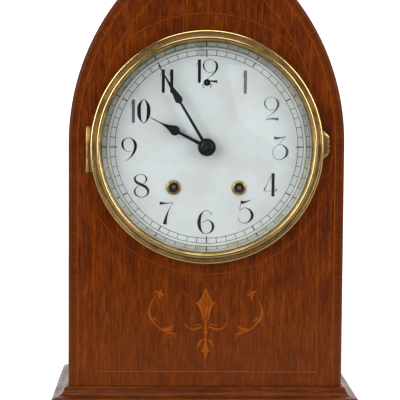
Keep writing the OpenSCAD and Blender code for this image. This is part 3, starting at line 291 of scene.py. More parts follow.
def newFinish(name):
    # A material with a bare tree: its Principled node, and its Object coordinates
    material = bpy.data.materials.new(name)
    material.use_nodes = True
    tree = material.node_tree
    shader = tree.nodes["Principled BSDF"]
    position = put(tree, "TexCoord", {}).node.outputs["Object"]
    return material, tree, shader, position


def bump(tree, height, strength, distance):
    return put(tree, "Bump", {"Strength": strength, "Distance": distance, "Height": height})


def makeLancetGroup():
    # Inset, how far a point lies inside the pointed outline: half width less x, or above the spring of the
    # arch its radius less the distance from its centre. Along: the height, or that radius times the angle.
    tree, given, out = newGroup("lancetOutline", [("Position", "Vector")],
                                [("Inset", "Float"), ("Along", "Float")])
    x, y, z = split(tree, given["Position"])
    across = calc(tree, "ABSOLUTE", x)
    reach = calc(tree, "ADD", across, archOffset)
    rise = minus(tree, z, springZ)
    radius = lengthOf(tree, joined(tree, reach, rise, 0.0))
    archInset = minus(tree, caseShape["archRadius"], radius)
    sideInset = minus(tree, halfWidth, across)
    archAlong = times(tree, calc(tree, "ARCTAN2", rise, reach), caseShape["archRadius"])
    inArch = calc(tree, "GREATER_THAN", rise, 0.0)
    for label, low, high in (("Inset", sideInset, archInset), ("Along", rise, archAlong)):
        tree.links.new(blend(tree, inArch, low, high), out[label])
    return tree


figure = {  # of mahogany; each layer: scale across, through and along, detail, roughness, distortion, share
    "layers": {"fine": ((1000, 1000, 30), 4, 0.65, 0.0, 0.40), "broad": ((210, 210, 9), 3, 0.55, 0.0, 0.16),
               "mottle": ((48, 48, 34), 3, 0.55, 0.6, 0.14), "fleck": ((620, 620, 120), 3, 0.6, 0.0, 0.30)},
    "warp": 0.006, "darkEnd": 0.38, "middle": 0.50, "lightEnd": 0.62,
    "poreScale": (3600, 3600, 260), "pore": rgb(38, 14, 6), "poreShare": 0.5,
}


def makeGrainGroup():
    # Mahogany figure: broad and fine streaks along the grain, soft mottling, and short dark pores
    tree, given, out = newGroup(
        "mahoganyFigure",
        [("Across", "Float"), ("Depth", "Float"), ("Along", "Float"), ("Light", "Color"),
         ("Middle", "Color"), ("Dark", "Color")],
        [("Colour", "Color"), ("Roughness", "Float"), ("Height", "Float")])
    place = joined(tree, given["Across"], given["Depth"], given["Along"])
    warp = noise(tree, scaled(tree, place, 30, 30, 9), detail=2)
    shift = joined(tree, times(tree, warp, figure["warp"]), 0.0, 0.0)
    bent = put(tree, "VectorMath", {0: place, 1: shift}, operation="ADD")
    layers = {name: noise(tree, scaled(tree, bent, *scale), 1.0, *pattern)
              for name, (scale, *pattern, share) in figure["layers"].items()}
    level = weighted(tree, *((layers[name], row[-1]) for name, row in figure["layers"].items()))
    dark = remap(tree, level, figure["darkEnd"], figure["middle"])
    light = remap(tree, level, figure["middle"], figure["lightEnd"])
    colour = blendColour(tree, dark, given["Dark"], given["Middle"])
    colour = blendColour(tree, light, colour, given["Light"])
    pores = remap(tree, noise(tree, scaled(tree, place, *figure["poreScale"]), detail=1), 0.60, 0.72)
    colour = blendColour(tree, times(tree, pores, figure["poreShare"]), colour, figure["pore"])
    tree.links.new(colour, out["Colour"])
    tree.links.new(remap(tree, layers["mottle"], 0.3, 0.7, 0.05, -0.04), out["Roughness"])
    tree.links.new(weighted(tree, (layers["fine"], 0.25), (pores, -1.0)), out["Height"])
    return tree


def makeHandlingGroup():
    # Signs of handling: cloudy haze from old polish and sparse fine scratches, each as a mask
    tree, given, out = newGroup("handling", [("Position", "Vector"), ("Size", "Float")],
                                [("Haze", "Float"), ("Scratch", "Float")])
    place = put(tree, "VectorMath", {0: given["Position"], "Scale": given["Size"]}, operation="SCALE")
    cloud = noise(tree, place, scale=1.0, detail=5, roughness=0.6, distortion=0.4)
    tree.links.new(remap(tree, cloud, 0.42, 0.68, soft=True), out["Haze"])
    turned = put(tree, "VectorRotate", {"Vector": place, "Angle": 0.6}, rotation_type="Y_AXIS")
    lines = noise(tree, scaled(tree, turned, 60, 60, 2), detail=1)
    tree.links.new(remap(tree, lines, 0.70, 0.76), out["Scratch"])
    return tree


def makePatinaGroup():
    # Old lacquered brass: clouds of tarnish over the clean colour and small brown spots
    tree, given, out = newGroup(
        "patina", [("Position", "Vector"), ("Clean", "Color"), ("Tarnish", "Color"), ("Amount", "Float")],
        [("Colour", "Color"), ("Roughness", "Float"), ("Height", "Float")])
    cloud = noise(tree, given["Position"], scale=70, detail=5, roughness=0.6, distortion=0.5)
    spots = remap(tree, noise(tree, given["Position"], scale=620, detail=3, roughness=0.6), 0.60, 0.72)
    cover = times(tree, remap(tree, cloud, 0.35, 0.65, soft=True), given["Amount"])
    colour = blendColour(tree, cover, given["Clean"], given["Tarnish"])
    colour = blendColour(tree, times(tree, spots, 0.45), colour, rgb(92, 62, 28))
    tree.links.new(colour, out["Colour"])
    tree.links.new(weighted(tree, (cover, 0.16), (spots, 0.2)), out["Roughness"])
    tree.links.new(weighted(tree, (cloud, 0.3), (spots, 1.0)), out["Height"])
    return tree


lancetGroup = makeLancetGroup()
grainGroup = makeGrainGroup()
handlingGroup = makeHandlingGroup()
patinaGroup = makePatinaGroup()

caseWood = {
    "light": rgb(128, 60, 11), "middle": rgb(95, 38, 4), "dark": rgb(60, 20, 2),
    "bandLight": rgb(112, 50, 10), "bandMiddle": rgb(93, 38, 5), "bandDark": rgb(76, 28, 3),
    "foot": rgb(134, 68, 24), "floorReflectionShare": 0.22,  # painted reflection of the white floor: the front lighter towards its foot
    "roughness": 0.26, "specular": 0.09, "bandWidth": 0.0072, "bumpDistance": 0.00006,
    "lineInset": 0.0037, "lineWidth": 0.0011, "line": rgb(72, 31, 7),  # a dark line within the band
}


def finishWood(tree, shader, colour, grain, haze, values):
    # French polish over the grain: its gloss follows the grain and the haze
    fill(tree, shader, {
        "Base Color": colour, "Specular IOR Level": values["specular"],
        "Roughness": weighted(tree, (grain["Roughness"], 1.0), haze, (values["roughness"], 1.0)),
        "Normal": bump(tree, grain["Height"], 0.35, values["bumpDistance"])})


def woodColours(values, prefix=""):
    # The grain group's three colours, out of a wood's values; the band's have a prefix
    shades = ("Light", "Middle", "Dark")
    return {shade: values[prefix + shade if prefix else shade.lower()] for shade in shades}


def makeFrontWood():
    # Veneered front: upright grain in the field, and a crossband with its grain across the edge
    material, tree, shader, position = newFinish("frontMahogany")
    x, y, z = split(tree, position)
    inset, along = useGroup(tree, lancetGroup, {"Position": position})[:2]
    field = useGroup(tree, grainGroup, {"Across": x, "Depth": y, "Along": z, **woodColours(caseWood)})
    band = useGroup(tree, grainGroup, {"Across": along, "Depth": y, "Along": inset,
                                       **woodColours(caseWood, "band")})
    inBand = calc(tree, "LESS_THAN", inset, caseWood["bandWidth"])
    wear = useGroup(tree, handlingGroup, {"Position": position, "Size": 14.0})
    fromLine = calc(tree, "ABSOLUTE", minus(tree, inset, caseWood["lineInset"]))
    onLine = remap(tree, fromLine, caseWood["lineWidth"] * 0.75, caseWood["lineWidth"] * 0.25, soft=True)
    bandColour = blendColour(tree, times(tree, onLine, 0.8), band["Colour"], caseWood["line"])
    # painted reflection: the front blends towards a lighter colour near its foot, standing for the white
    # floor mirrored there
    low = times(tree, remap(tree, z, baseTop + 0.13, baseTop, soft=True), caseWood["floorReflectionShare"])
    colour = blendColour(tree, inBand, field["Colour"], bandColour)
    colour = blendColour(tree, low, colour, caseWood["foot"])
    finishWood(tree, shader, colour, field, (wear["Haze"], 0.06), caseWood)
    return material


def makeStraightWood(name, way, values):
    # Solid or veneered wood whose grain runs along one axis: x, y, z, or around the outline of the case
    material, tree, shader, position = newFinish(name)
    x, y, z = split(tree, position)
    if way == "outline":
        inset, along = useGroup(tree, lancetGroup, {"Position": position})[:2]
        axes = (y, inset, along)
    else:
        axes = {"x": (z, y, x), "y": (x, z, y), "z": (x, y, z)}[way]
    ways = dict(zip(("Across", "Depth", "Along"), axes))
    grain = useGroup(tree, grainGroup, {**ways, **woodColours(values)})
    wear = useGroup(tree, handlingGroup, {"Position": position, "Size": 18.0})
    scratched = times(tree, wear["Scratch"], 0.18)
    colour = blendColour(tree, scratched, grain["Colour"], values["light"])
    finishWood(tree, shader, colour, grain, (wear["Haze"], 0.08), values)
    return material


mouldingWood = dict(caseWood, light=rgb(116, 56, 11), middle=rgb(90, 39, 6), dark=rgb(62, 24, 4))
backWood = dict(caseWood, light=rgb(128, 84, 48), middle=rgb(98, 60, 32), dark=rgb(66, 38, 20),
                roughness=0.52, bumpDistance=0.00012)
baseWood = dict(backWood, light=rgb(152, 112, 72), middle=rgb(122, 84, 52), dark=rgb(86, 56, 34),
                roughness=0.6)

brassFinish = {
    "bezel": {"clean": rgb(214, 182, 124), "tarnish": rgb(140, 112, 66), "amount": 0.9, "roughness": 0.32},
    "ring": {"clean": rgb(236, 234, 226), "tarnish": rgb(206, 192, 160), "amount": 0.6, "roughness": 0.05},
    # painted highlight on the beads' crests: the beads' radii, and the highlight's width, colour and
    # roughness
    "beads": {"radii": (0.0873, 0.0821), "width": 0.0013, "colour": rgb(226, 192, 128), "roughness": 0.2},
    "arborEnd": {"radius": 0.004, "colour": rgb(66, 68, 70),  # the steel arbor through the hands
                 # the regulator's height above the dial's middle, and the colour and reach of the painted
                 # shade behind its hole
                 "regulatorUp": 0.0499, "holeShade": rgb(30, 24, 18), "holeShadeReach": (0.008, 0.005)},
    "movement": {"clean": rgb(222, 190, 120), "tarnish": rgb(168, 134, 74), "amount": 0.6,
                 "roughness": 0.3},
    "bob": {"clean": rgb(226, 190, 112), "tarnish": rgb(164, 124, 62), "amount": 0.6, "roughness": 0.2},
    "hinge": {"clean": rgb(196, 160, 92), "tarnish": rgb(128, 98, 52), "amount": 0.8, "roughness": 0.38},
}


def beadHighlights(tree, x, y, z, colour, roughness):
    # Painted highlight along the crests of the bezel's two beads, with a lower roughness there: near the
    # one or the other radius
    beads = brassFinish["beads"]
    radius = reachFrom(tree, x, z)
    gaps = [calc(tree, "ABSOLUTE", minus(tree, radius, bead)) for bead in beads["radii"]]
    crestHighlight = remap(tree, calc(tree, "MINIMUM", *gaps), beads["width"], beads["width"] * 0.4, soft=True)
    colour = blendColour(tree, times(tree, crestHighlight, 0.8), colour, beads["colour"])
    return colour, blend(tree, crestHighlight, roughness, beads["roughness"])


def arborEnds(tree, x, y, z, colour, roughness):
    # The steel end of the arbor before the dial, and painted shade on the plate behind the regulator's hole
    end = brassFinish["arborEnd"]
    steel = times(tree, calc(tree, "LESS_THAN", reachFrom(tree, x, z), end["radius"]),
                 calc(tree, "LESS_THAN", y, dialY))
    colour = blendColour(tree, steel, colour, end["colour"])
    # painted shade: the brass near the regulator's arbor is darkened where it lies in shadow behind the
    # hole
    gaps = [calc(tree, "ABSOLUTE", minus(tree, place, middle))
            for place, middle in ((x, dialX), (z, dialZ + end["regulatorUp"]))]
    holeShaded = times(tree, *(remap(tree, gap, *end["holeShadeReach"], soft=True) for gap in gaps))
    return blendColour(tree, times(tree, holeShaded, 0.9), colour, end["holeShade"]), roughness


def makeBrass(name, values, turnedLines=False, detail=None):
    # Old brass; turned pieces have fine rings round the dial's axis, and a detail changes some places
    material, tree, shader, position = newFinish(name)
    patina = useGroup(tree, patinaGroup, {"Position": position, "Clean": values["clean"],
                                          "Tarnish": values["tarnish"], "Amount": values["amount"]})
    x, y, z = split(tree, position)
    if turnedLines:
        rings = joined(tree, reachFrom(tree, x, z), y, 0.0)
        lines = noise(tree, scaled(tree, rings, 1700, 1700, 0), detail=2)
    else:
        lines = noise(tree, scaled(tree, position, 2600, 2600, 220), detail=2)
    rough = values["roughness"]
    lively = remap(tree, lines, 0.3, 0.7, rough - 0.03, rough + 0.05)
    roughness = calc(tree, "ADD", patina["Roughness"], lively)
    height = weighted(tree, (lines, 0.6), (patina["Height"], 1.0))
    colour = patina["Colour"]
    if detail:
        colour, roughness = detail(tree, x, y, z, colour, roughness)
    fill(tree, shader, {"Base Color": colour, "Metallic": 1.0, "Roughness": roughness,
                        "Normal": bump(tree, height, 0.03 if turnedLines else 0.1, 0.00004)})
    return material


def makeMetal(name, colour, spot, roughness, metallic=1.0, bumpStrength=0.12):
    # Steel, blued steel, cast iron: a ground colour with darker spots, fine lines and uneven gloss
    material, tree, shader, position = newFinish(name)
    cloud = noise(tree, position, scale=120, detail=5, roughness=0.6)
    lines = noise(tree, scaled(tree, position, 2400, 2400, 200), detail=2)
    shade = blendColour(tree, remap(tree, cloud, 0.42, 0.68, soft=True), colour, spot)
    rough = calc(tree, "ADD", remap(tree, lines, 0.3, 0.7, roughness - 0.05, roughness + 0.06),
                 remap(tree, cloud, 0.4, 0.7, 0.0, 0.14))
    height = calc(tree, "ADD", lines, cloud)
    fill(tree, shader, {"Base Color": shade, "Metallic": metallic, "Roughness": rough,
                        "Normal": bump(tree, height, bumpStrength, 0.00005)})
    return material


dialPaint = {
    "white": rgb(212, 217, 220), "warm": rgb(204, 206, 204), "specular": 0.4,
    "stain": rgb(150, 142, 134), "stainAt": (-0.0042, 0.0718), "stainSize": 0.0042,
    "ink": rgb(16, 17, 20), "fadedInk": rgb(130, 133, 138), "inkSpecular": 0.15,
}


def makeDialPaint():
    # Painted zinc: cool white with faint warm clouds, tiny specks, and one brown smudge near twelve
    material, tree, shader, position = newFinish("dialPaint")
    cloud = noise(tree, position, scale=34, detail=5, roughness=0.6)
    specks = remap(tree, noise(tree, position, scale=900, detail=2), 0.72, 0.80)
    clouded = remap(tree, cloud, 0.4, 0.7, soft=True)
    colour = blendColour(tree, clouded, dialPaint["white"], dialPaint["warm"])
    x, y, z = split(tree, position)
    stainX, stainZ = dialPaint["stainAt"]
    reach = reachFrom(tree, x, z, dialX + stainX, dialZ + stainZ)
    ragged = weighted(tree, (reach, 1.0), (noise(tree, position, scale=420, detail=3), 0.002))
    smudge = remap(tree, ragged, dialPaint["stainSize"] + 0.001, dialPaint["stainSize"] - 0.001, soft=True)
    colour = blendColour(tree, times(tree, smudge, 0.5), colour, dialPaint["stain"])
    colour = blendColour(tree, times(tree, specks, 0.3), colour, dialPaint["stain"])
    fill(tree, shader, {"Base Color": colour, "Roughness": remap(tree, cloud, 0.3, 0.7, 0.32, 0.44),
                        "Specular IOR Level": dialPaint["specular"],
                        "Normal": bump(tree, noise(tree, position, scale=260, detail=4), 0.1, 0.00004)})
    return material


def makeInk():
    # Printing ink: near black where it is whole, and grey where it has worn, by the tone of each stroke
    material, tree, shader, position = newFinish("dialInk")
    tone = put(tree, "Attribute", {}, attribute_name="tone").node.outputs["Fac"]
    worn = noise(tree, position, scale=700, detail=4, roughness=0.7)
    amount = calc(tree, "ADD", tone, remap(tree, worn, 0.4, 0.75, 0.25, -0.12), clamp=True)
    colour = blendColour(tree, amount, dialPaint["fadedInk"], dialPaint["ink"])
    fill(tree, shader, {"Base Color": colour, "Roughness": remap(tree, worn, 0.3, 0.7, 0.4, 0.6),
                        "Specular IOR Level": dialPaint["inkSpecular"],
                        "Normal": bump(tree, worn, 0.1, 0.00002)})
    return material


handPaint = {"dark": rgb(14, 15, 17), "light": rgb(26, 27, 30), "chip": rgb(96, 98, 102), "specular": 0.3}


def makeHandPaint():
    # Black enamel with small grey chips
    material, tree, shader, position = newFinish("handPaint")
    cloud = noise(tree, position, scale=300, detail=4, roughness=0.6)
    chips = remap(tree, noise(tree, position, scale=1300, detail=3), 0.70, 0.78)
    colour = blendColour(tree, cloud, handPaint["dark"], handPaint["light"])
    colour = blendColour(tree, times(tree, chips, 0.5), colour, handPaint["chip"])
    fill(tree, shader, {"Base Color": colour, "Roughness": remap(tree, cloud, 0.3, 0.7, 0.32, 0.48),
                        "Specular IOR Level": handPaint["specular"],
                        "Normal": bump(tree, cloud, 0.15, 0.00005)})
    return material


inlayWood = {"light": rgb(154, 74, 8), "deep": rgb(94, 38, 4), "roughness": (0.24, 0.34), "specular": 0.14}


def makeInlayWood():
    # Satinwood let into the front, its tone set for each leaf
    material, tree, shader, position = newFinish("inlayWood")
    tone = put(tree, "Attribute", {}, attribute_name="tone").node.outputs["Fac"]
    streak = noise(tree, scaled(tree, position, 900, 900, 90), detail=4, roughness=0.6)
    patch = noise(tree, position, scale=90, detail=3)
    lively = remap(tree, calc(tree, "ADD", streak, patch), 0.7, 1.2, 0.55, 1.1)
    amount = times(tree, tone, lively, clamp=True)
    colour = blendColour(tree, amount, inlayWood["deep"], inlayWood["light"])
    fill(tree, shader, {
        "Base Color": colour, "Roughness": remap(tree, patch, 0.3, 0.7, *inlayWood["roughness"]),
        "Specular IOR Level": inlayWood["specular"], "Normal": bump(tree, streak, 0.2, 0.00004)})
    return material


windowGlass = {"tint": (0.97, 0.985, 0.98, 1), "clear": (0.96, 0.975, 0.97, 1), "dustRoughness": 0.05}


def makeGlass():
    # Old window glass: clear for light and shadow, faintly wavy, with a little dust that dulls its gloss
    material, tree, shader, position = newFinish("bezelGlass")
    wave = noise(tree, position, scale=24, detail=2)
    dust = noise(tree, position, scale=480, detail=4, roughness=0.7)
    fill(tree, shader, {
        "Base Color": windowGlass["tint"], "Metallic": 0.0, "Transmission Weight": 1.0, "IOR": 1.5,
        "Roughness": remap(tree, dust, 0.45, 0.75, 0.0, windowGlass["dustRoughness"]),
        "Normal": bump(tree, wave, 0.05, 0.0004)})
    clear = put(tree, "BsdfTransparent", {0: windowGlass["clear"]})
    path = put(tree, "LightPath", {}).node.outputs
    soft = calc(tree, "MAXIMUM", path["Is Shadow Ray"], path["Is Diffuse Ray"])
    mixed = put(tree, "MixShader", {0: soft, 1: shader.outputs[0], 2: clear})
    tree.links.new(mixed, tree.nodes["Material Output"].inputs["Surface"])
    return material


finishes = {
    "front": makeFrontWood(),
    "side": makeStraightWood("sideMahogany", "outline", caseWood),
    "mouldingFront": makeStraightWood("frontMouldingWood", "x", mouldingWood),
    "mouldingSide": makeStraightWood("sideMouldingWood", "y", mouldingWood),
    "back": makeStraightWood("backBoardWood", "z", backWood),
    "base": makeStraightWood("baseBoardWood", "x", baseWood),
    "bezel": makeBrass("bezelBrass", brassFinish["bezel"], turnedLines=True, detail=beadHighlights),
    "ring": makeBrass("sightRingBrass", brassFinish["ring"], turnedLines=True),
    "movement": makeBrass("movementBrass", brassFinish["movement"], detail=arborEnds),
    "bob": makeBrass("bobBrass", brassFinish["bob"]),
    "hinge": makeBrass("hingeBrass", brassFinish["hinge"]),
    "steel": makeMetal("trainSteel", rgb(176, 178, 182), rgb(118, 114, 110), 0.3),
    "screw": makeMetal("screwSteel", rgb(128, 128, 130), rgb(84, 78, 72), 0.42),
    "blued": makeMetal("bluedSteel", rgb(72, 82, 104), rgb(46, 50, 62), 0.32),
    "arbor": makeMetal("darkSteel", rgb(104, 96, 88), rgb(62, 54, 48), 0.5),
    "iron": makeMetal("castIron", rgb(44, 44, 46), rgb(30, 29, 29), 0.6, metallic=0.4, bumpStrength=0.5),
    "hand": makeHandPaint(),
    "dial": makeDialPaint(),
    "ink": makeInk(),
    "inlay": makeInlayWood(),
    "glass": makeGlass(),
}
print("finishes made:", len(finishes))

nodeFinish = {
    "front": ["front_board"],
    "side": ["left_side", "right_side"],
    "mouldingFront": ["base_front_moulding"],
    "mouldingSide": ["base_side_mouldings"],
    "back": ["back_board", "back_door", "turn_button"],
    "base": ["base_board"],
    "bezel": ["bezel_ring", "bezel_tab", "bezel_hinge_pin", "mounting_ring", "glass_retainer",
              "winding_grommets"],
    "ring": ["sight_ring"],
    "bob": ["pendulum_bob"],
    "hinge": ["door_hinge_frames", "door_hinge_leaves"],
    "steel": ["pillars", "time_click", "strike_click", "verge", "count_lever", "suspension_spring",
              "pendulum_rod"],
    "arbor": ["time_winding_arbor", "strike_winding_arbor", "regulator_arbor"],
    "screw": ["wood_screws", "pillar_nuts"],
    "blued": ["time_mainspring", "strike_mainspring", "gong"],
    "iron": ["gong_stand"],
    "hand": ["minute_hand", "hour_hand", "hand_washer"],
    "dial": ["dial"],
    "glass": ["glass"],
}
named = {node for group in nodeFinish.values() for node in group}
nodeFinish["movement"] = sorted(set(nodes) - named)
for finishName, group in nodeFinish.items():
    for node in group:
        for slot in nodes[node].material_slots:
            slot.material = finishes[finishName]
print("frame finished")

# Smooth copies: curved pieces shaded smooth, and boards with softened edges

boardEdges = {
    "front_board": 0.0004, "left_side": 0.0003, "right_side": 0.0003, "base_front_moulding": 0.0004,
    "base_side_mouldings": 0.0004, "base_board": 0.0005, "back_board": 0.0004, "back_door": 0.0006,
    "turn_button": 0.0006,
}
roundPieces = [
    "sight_ring", "mounting_ring", "winding_grommets", "bezel_tab", "bezel_hinge_pin", "hand_washer",
    "minute_hand", "hour_hand", "pillars", "pillar_nuts", "time_winding_arbor", "strike_winding_arbor",
    "pendulum_bob", "pendulum_rod", "gong", "gong_stand", "hammer", "wood_screws", "regulator_arbor",
    "door_hinge_frames", "door_hinge_leaves", "time_mainspring", "strike_mainspring",
]
finishOf = {node: finishes[name] for name, group in nodeFinish.items() for node in group}
for node, edge in boardEdges.items():
    smoothCopy(node, finishOf[node], edge=edge)
for node in roundPieces:
    smoothCopy(node, finishOf[node])
print("smooth copies made:", len(boardEdges) + len(roundPieces))

# Glass: a shallow dome of even thickness

dome = {"thickness": 0.002, "rings": 36, "spokes": 128}


def makeDomeGlass():
    # Two spheres about one centre: a row's depth is the centre's less the root of the radius squared less
    # the row's distance squared
    low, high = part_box("glass")
    rim = (high.x - low.x) / 2
    rise = high.y - low.y - dome["thickness"]
    radius = (rim ** 2 + rise ** 2) / (2 * rise)  # of the inner face
    middle = low.y + dome["thickness"] + radius
    across = rim * np.sin(np.linspace(0, math.pi / 2, dome["rings"]))
    inner = np.stack([across, middle - np.sqrt(radius ** 2 - across ** 2)], axis=1)
    outer = np.stack([across, middle - np.sqrt((radius + dome["thickness"]) ** 2 - across ** 2)], axis=1)
    verts, faces = turnedAboutDial(np.vstack([inner, outer[::-1]]), dome["spokes"])
    piece = newPiece("domeGlass", verts, faces, finishes["glass"], "bezel")
    smoothed(piece.data, 30)
    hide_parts("glass")


makeDomeGlass()
print("glass set")

# Bezel: a turned section with an outer and an inner bead and a sloping band between them, and two knuckles

bezel = {
    "overhang": 0.0004,  # the outer bead past the skirt
    "skirtHeight": 0.004, "outerBead": 0.0015, "innerBead": 0.00135, "lipInset": 0.0008,
    "lipHeight": 0.0075,  # of the glass seat above the back edge
    "spokes": 288, "beadSteps": 14,
    "knuckle": 0.0016, "knuckleLength": 0.01113, "groove": 0.00015, "knuckleSpokes": 40,
    "leafThickness": 0.0012, "leafWidth": 0.004,
}


def arcRows(centre, radius, start, end, steps):
    # Rows of (radius, depth) round a small circle in the section, in degrees from outwards to forwards
    angle = np.radians(np.linspace(start, end, steps))
    return np.stack([centre[0] + radius * np.cos(angle), centre[1] - radius * np.sin(angle)], axis=1)


def hingeKnuckle(x, y, z):
    # A barrel about an upright line, with a shallow groove near each end and softened rims
    radius, groove, length = bezel["knuckle"], bezel["groove"], bezel["knuckleLength"]
    steps = np.array([0, 0.0002, 0.0009, 0.0011, 0.0013])
    up = np.concatenate([[0], steps, length - steps[::-1], [length]])
    out = np.array([0, radius - 0.0002, radius, radius - groove, radius, radius])
    out = np.concatenate([out, out[::-1]])
    spokes = bezel["knuckleSpokes"]
    angle = np.linspace(0, 2 * math.pi, spokes, endpoint=False)
    verts = np.stack([x + np.outer(out, np.cos(angle)), y + np.outer(out, np.sin(angle)),
                      np.repeat(z + up[:, None], spokes, axis=1)], axis=2)
    return verts.reshape(-1, 3), ringFaces(len(out), spokes)


def makeBezelRing():
    # The section runs from the skirt's foot over the outer bead, down the slope, over the inner bead to the
    # lip that holds the glass, and back inside; two knuckles and their leaves stand at its left.
    low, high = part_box("bezel_ring")
    outside = high.x - dialX - bezel["overhang"]
    glassEdge = (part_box("glass")[1].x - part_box("glass")[0].x) / 2
    foot = high.y - 0.0001
    skirtTop = foot - bezel["skirtHeight"]
    lip = foot - bezel["lipHeight"]
    steps = bezel["beadSteps"]
    profile = np.vstack([
        [[outside - 0.001, foot], [outside, foot], [outside, skirtTop]],
        arcRows((outside - 0.0014, skirtTop - 0.0009), bezel["outerBead"], -30, 125, steps),
        [[outside - 0.0032, skirtTop - 0.0019], [glassEdge + 0.0026, lip - 0.0011]],
        arcRows((glassEdge + 0.0011, lip - 0.0014), bezel["innerBead"], 10, 170, steps),
        [[glassEdge - bezel["lipInset"], lip - 0.0010], [glassEdge - bezel["lipInset"], lip],
         [glassEdge + 0.0004, lip], [glassEdge + 0.0012, lip + 0.0007], [outside - 0.0021, skirtTop],
         [outside - 0.001, skirtTop + 0.001], [outside - 0.001, foot]]])
    parts = [(*turnedAboutDial(profile, bezel["spokes"]), 1.0)]
    hingeX, hingeY = low.x + bezel["knuckle"], foot - bezel["knuckle"] + 0.0001
    pinLow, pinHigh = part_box("bezel_hinge_pin")
    middle, length = (pinLow.z + pinHigh.z) / 2, bezel["knuckleLength"]
    half = length * 1.5 + 0.0003  # the mounting ring's knuckle lies between the two
    for z in (middle - half, middle + half - length):
        parts.append((*hingeKnuckle(hingeX, hingeY, z), 1.0))
        inner, thickness = np.array([[hingeX, z], [hingeX, z + length]]), bezel["leafThickness"]
        outer = inner + [bezel["leafWidth"], 0]
        parts.append(slabBetween(inner, outer, hingeY - thickness / 2, thickness, 1.0))
    verts, faces = gather(parts)[:2]
    piece = newPiece("turnedBezel", verts, faces, finishes["bezel"], "bezel")
    smoothed(piece.data, 38)
    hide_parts("bezel_ring")


makeBezelRing()
print("bezel turned")

# Stringing: thin light lines let into the front, with a dark line along the lower edge of the one across
# the foot

stringing = {
    "lineWidth": 0.0006, "darkWidth": 0.0004, "depth": 0.0006, "proud": 0.00002,
    "panelInset": 0.0197, "panelFoot": 0.0109,  # the inner line: from the edge of the case, above the base
    "outerInset": 0.0071,
    "circleRadius": 0.0991, "circleUp": 0.0022,  # about the dial's centre
    "circleSteps": 90, "tones": {"outer": 0.6, "panel": 0.4, "foot": 0.7, "circle": 0.35},
}


def outlineAt(inset, foot, steps=64):
    # The case outline moved inwards: up the left side, round both flanks of the arch and down the right
    radius = caseShape["archRadius"] - inset
    topAngle = math.acos(archOffset / radius)
    angle = np.linspace(0, topAngle, steps)
    right = np.stack([radius * np.cos(angle) - archOffset, springZ + radius * np.sin(angle)], axis=1)
    right[-1, 0] = 0
    right = np.vstack([[halfWidth - inset, foot], right])
    left = right[::-1] * [-1, 1]
    return np.vstack([right[:-1], left])[::-1]


def makeStringing():
    # Two lines along the case outline, one across the foot of the panel, and a circle about the dial that
    # stops where it meets the panel's line
    front = faceY - stringing["proud"]
    half = stringing["lineWidth"] / 2
    tones = stringing["tones"]
    parts = []

    def lay(left, right, tone):
        parts.append(slabBetween(left, right, front, stringing["depth"], tone))

    panelFoot = baseTop + stringing["panelFoot"]
    for inset, foot, tone in ((stringing["outerInset"], baseTop, tones["outer"]),
                              (stringing["panelInset"], panelFoot - half, tones["panel"])):
        lay(outlineAt(inset - half, foot), outlineAt(inset + half, foot), tone)
    reach = halfWidth - stringing["panelInset"] - half
    across = np.array([[-reach, panelFoot], [reach, panelFoot]])
    lay(across + [0, half * 1.4], across - [0, half], tones["foot"])
    lay(across - [0, half + stringing["darkWidth"]], across - [0, half], 0.0)

    radius = stringing["circleRadius"]
    centreZ = dialZ + stringing["circleUp"]
    panelRadius = caseShape["archRadius"] - stringing["panelInset"]
    meetX = (archOffset ** 2 + panelRadius ** 2 - radius ** 2) / (2 * archOffset) - archOffset
    topTurn = math.acos(meetX / radius)
    sideTurn = math.acos((halfWidth - stringing["panelInset"]) / radius)
    for start, end in ((topTurn, math.pi - topTurn), (sideTurn - math.pi, -sideTurn)):
        ray = rays(np.linspace(start, end, stringing["circleSteps"]))
        middle = [dialX, centreZ]
        lay(middle + ray * (radius - half), middle + ray * (radius + half), tones["circle"])
    verts, faces, tone = gather(parts)
    newPiece("stringing", verts, faces, finishes["inlay"], "case", tone)


makeStringing()
print("stringing laid")

# Marquetry: a lily between two scrolls, in millimetres from the middle and up from the base.
# Each stroke has a tone and rows of (across, up, width); the left half is drawn and mirrored.

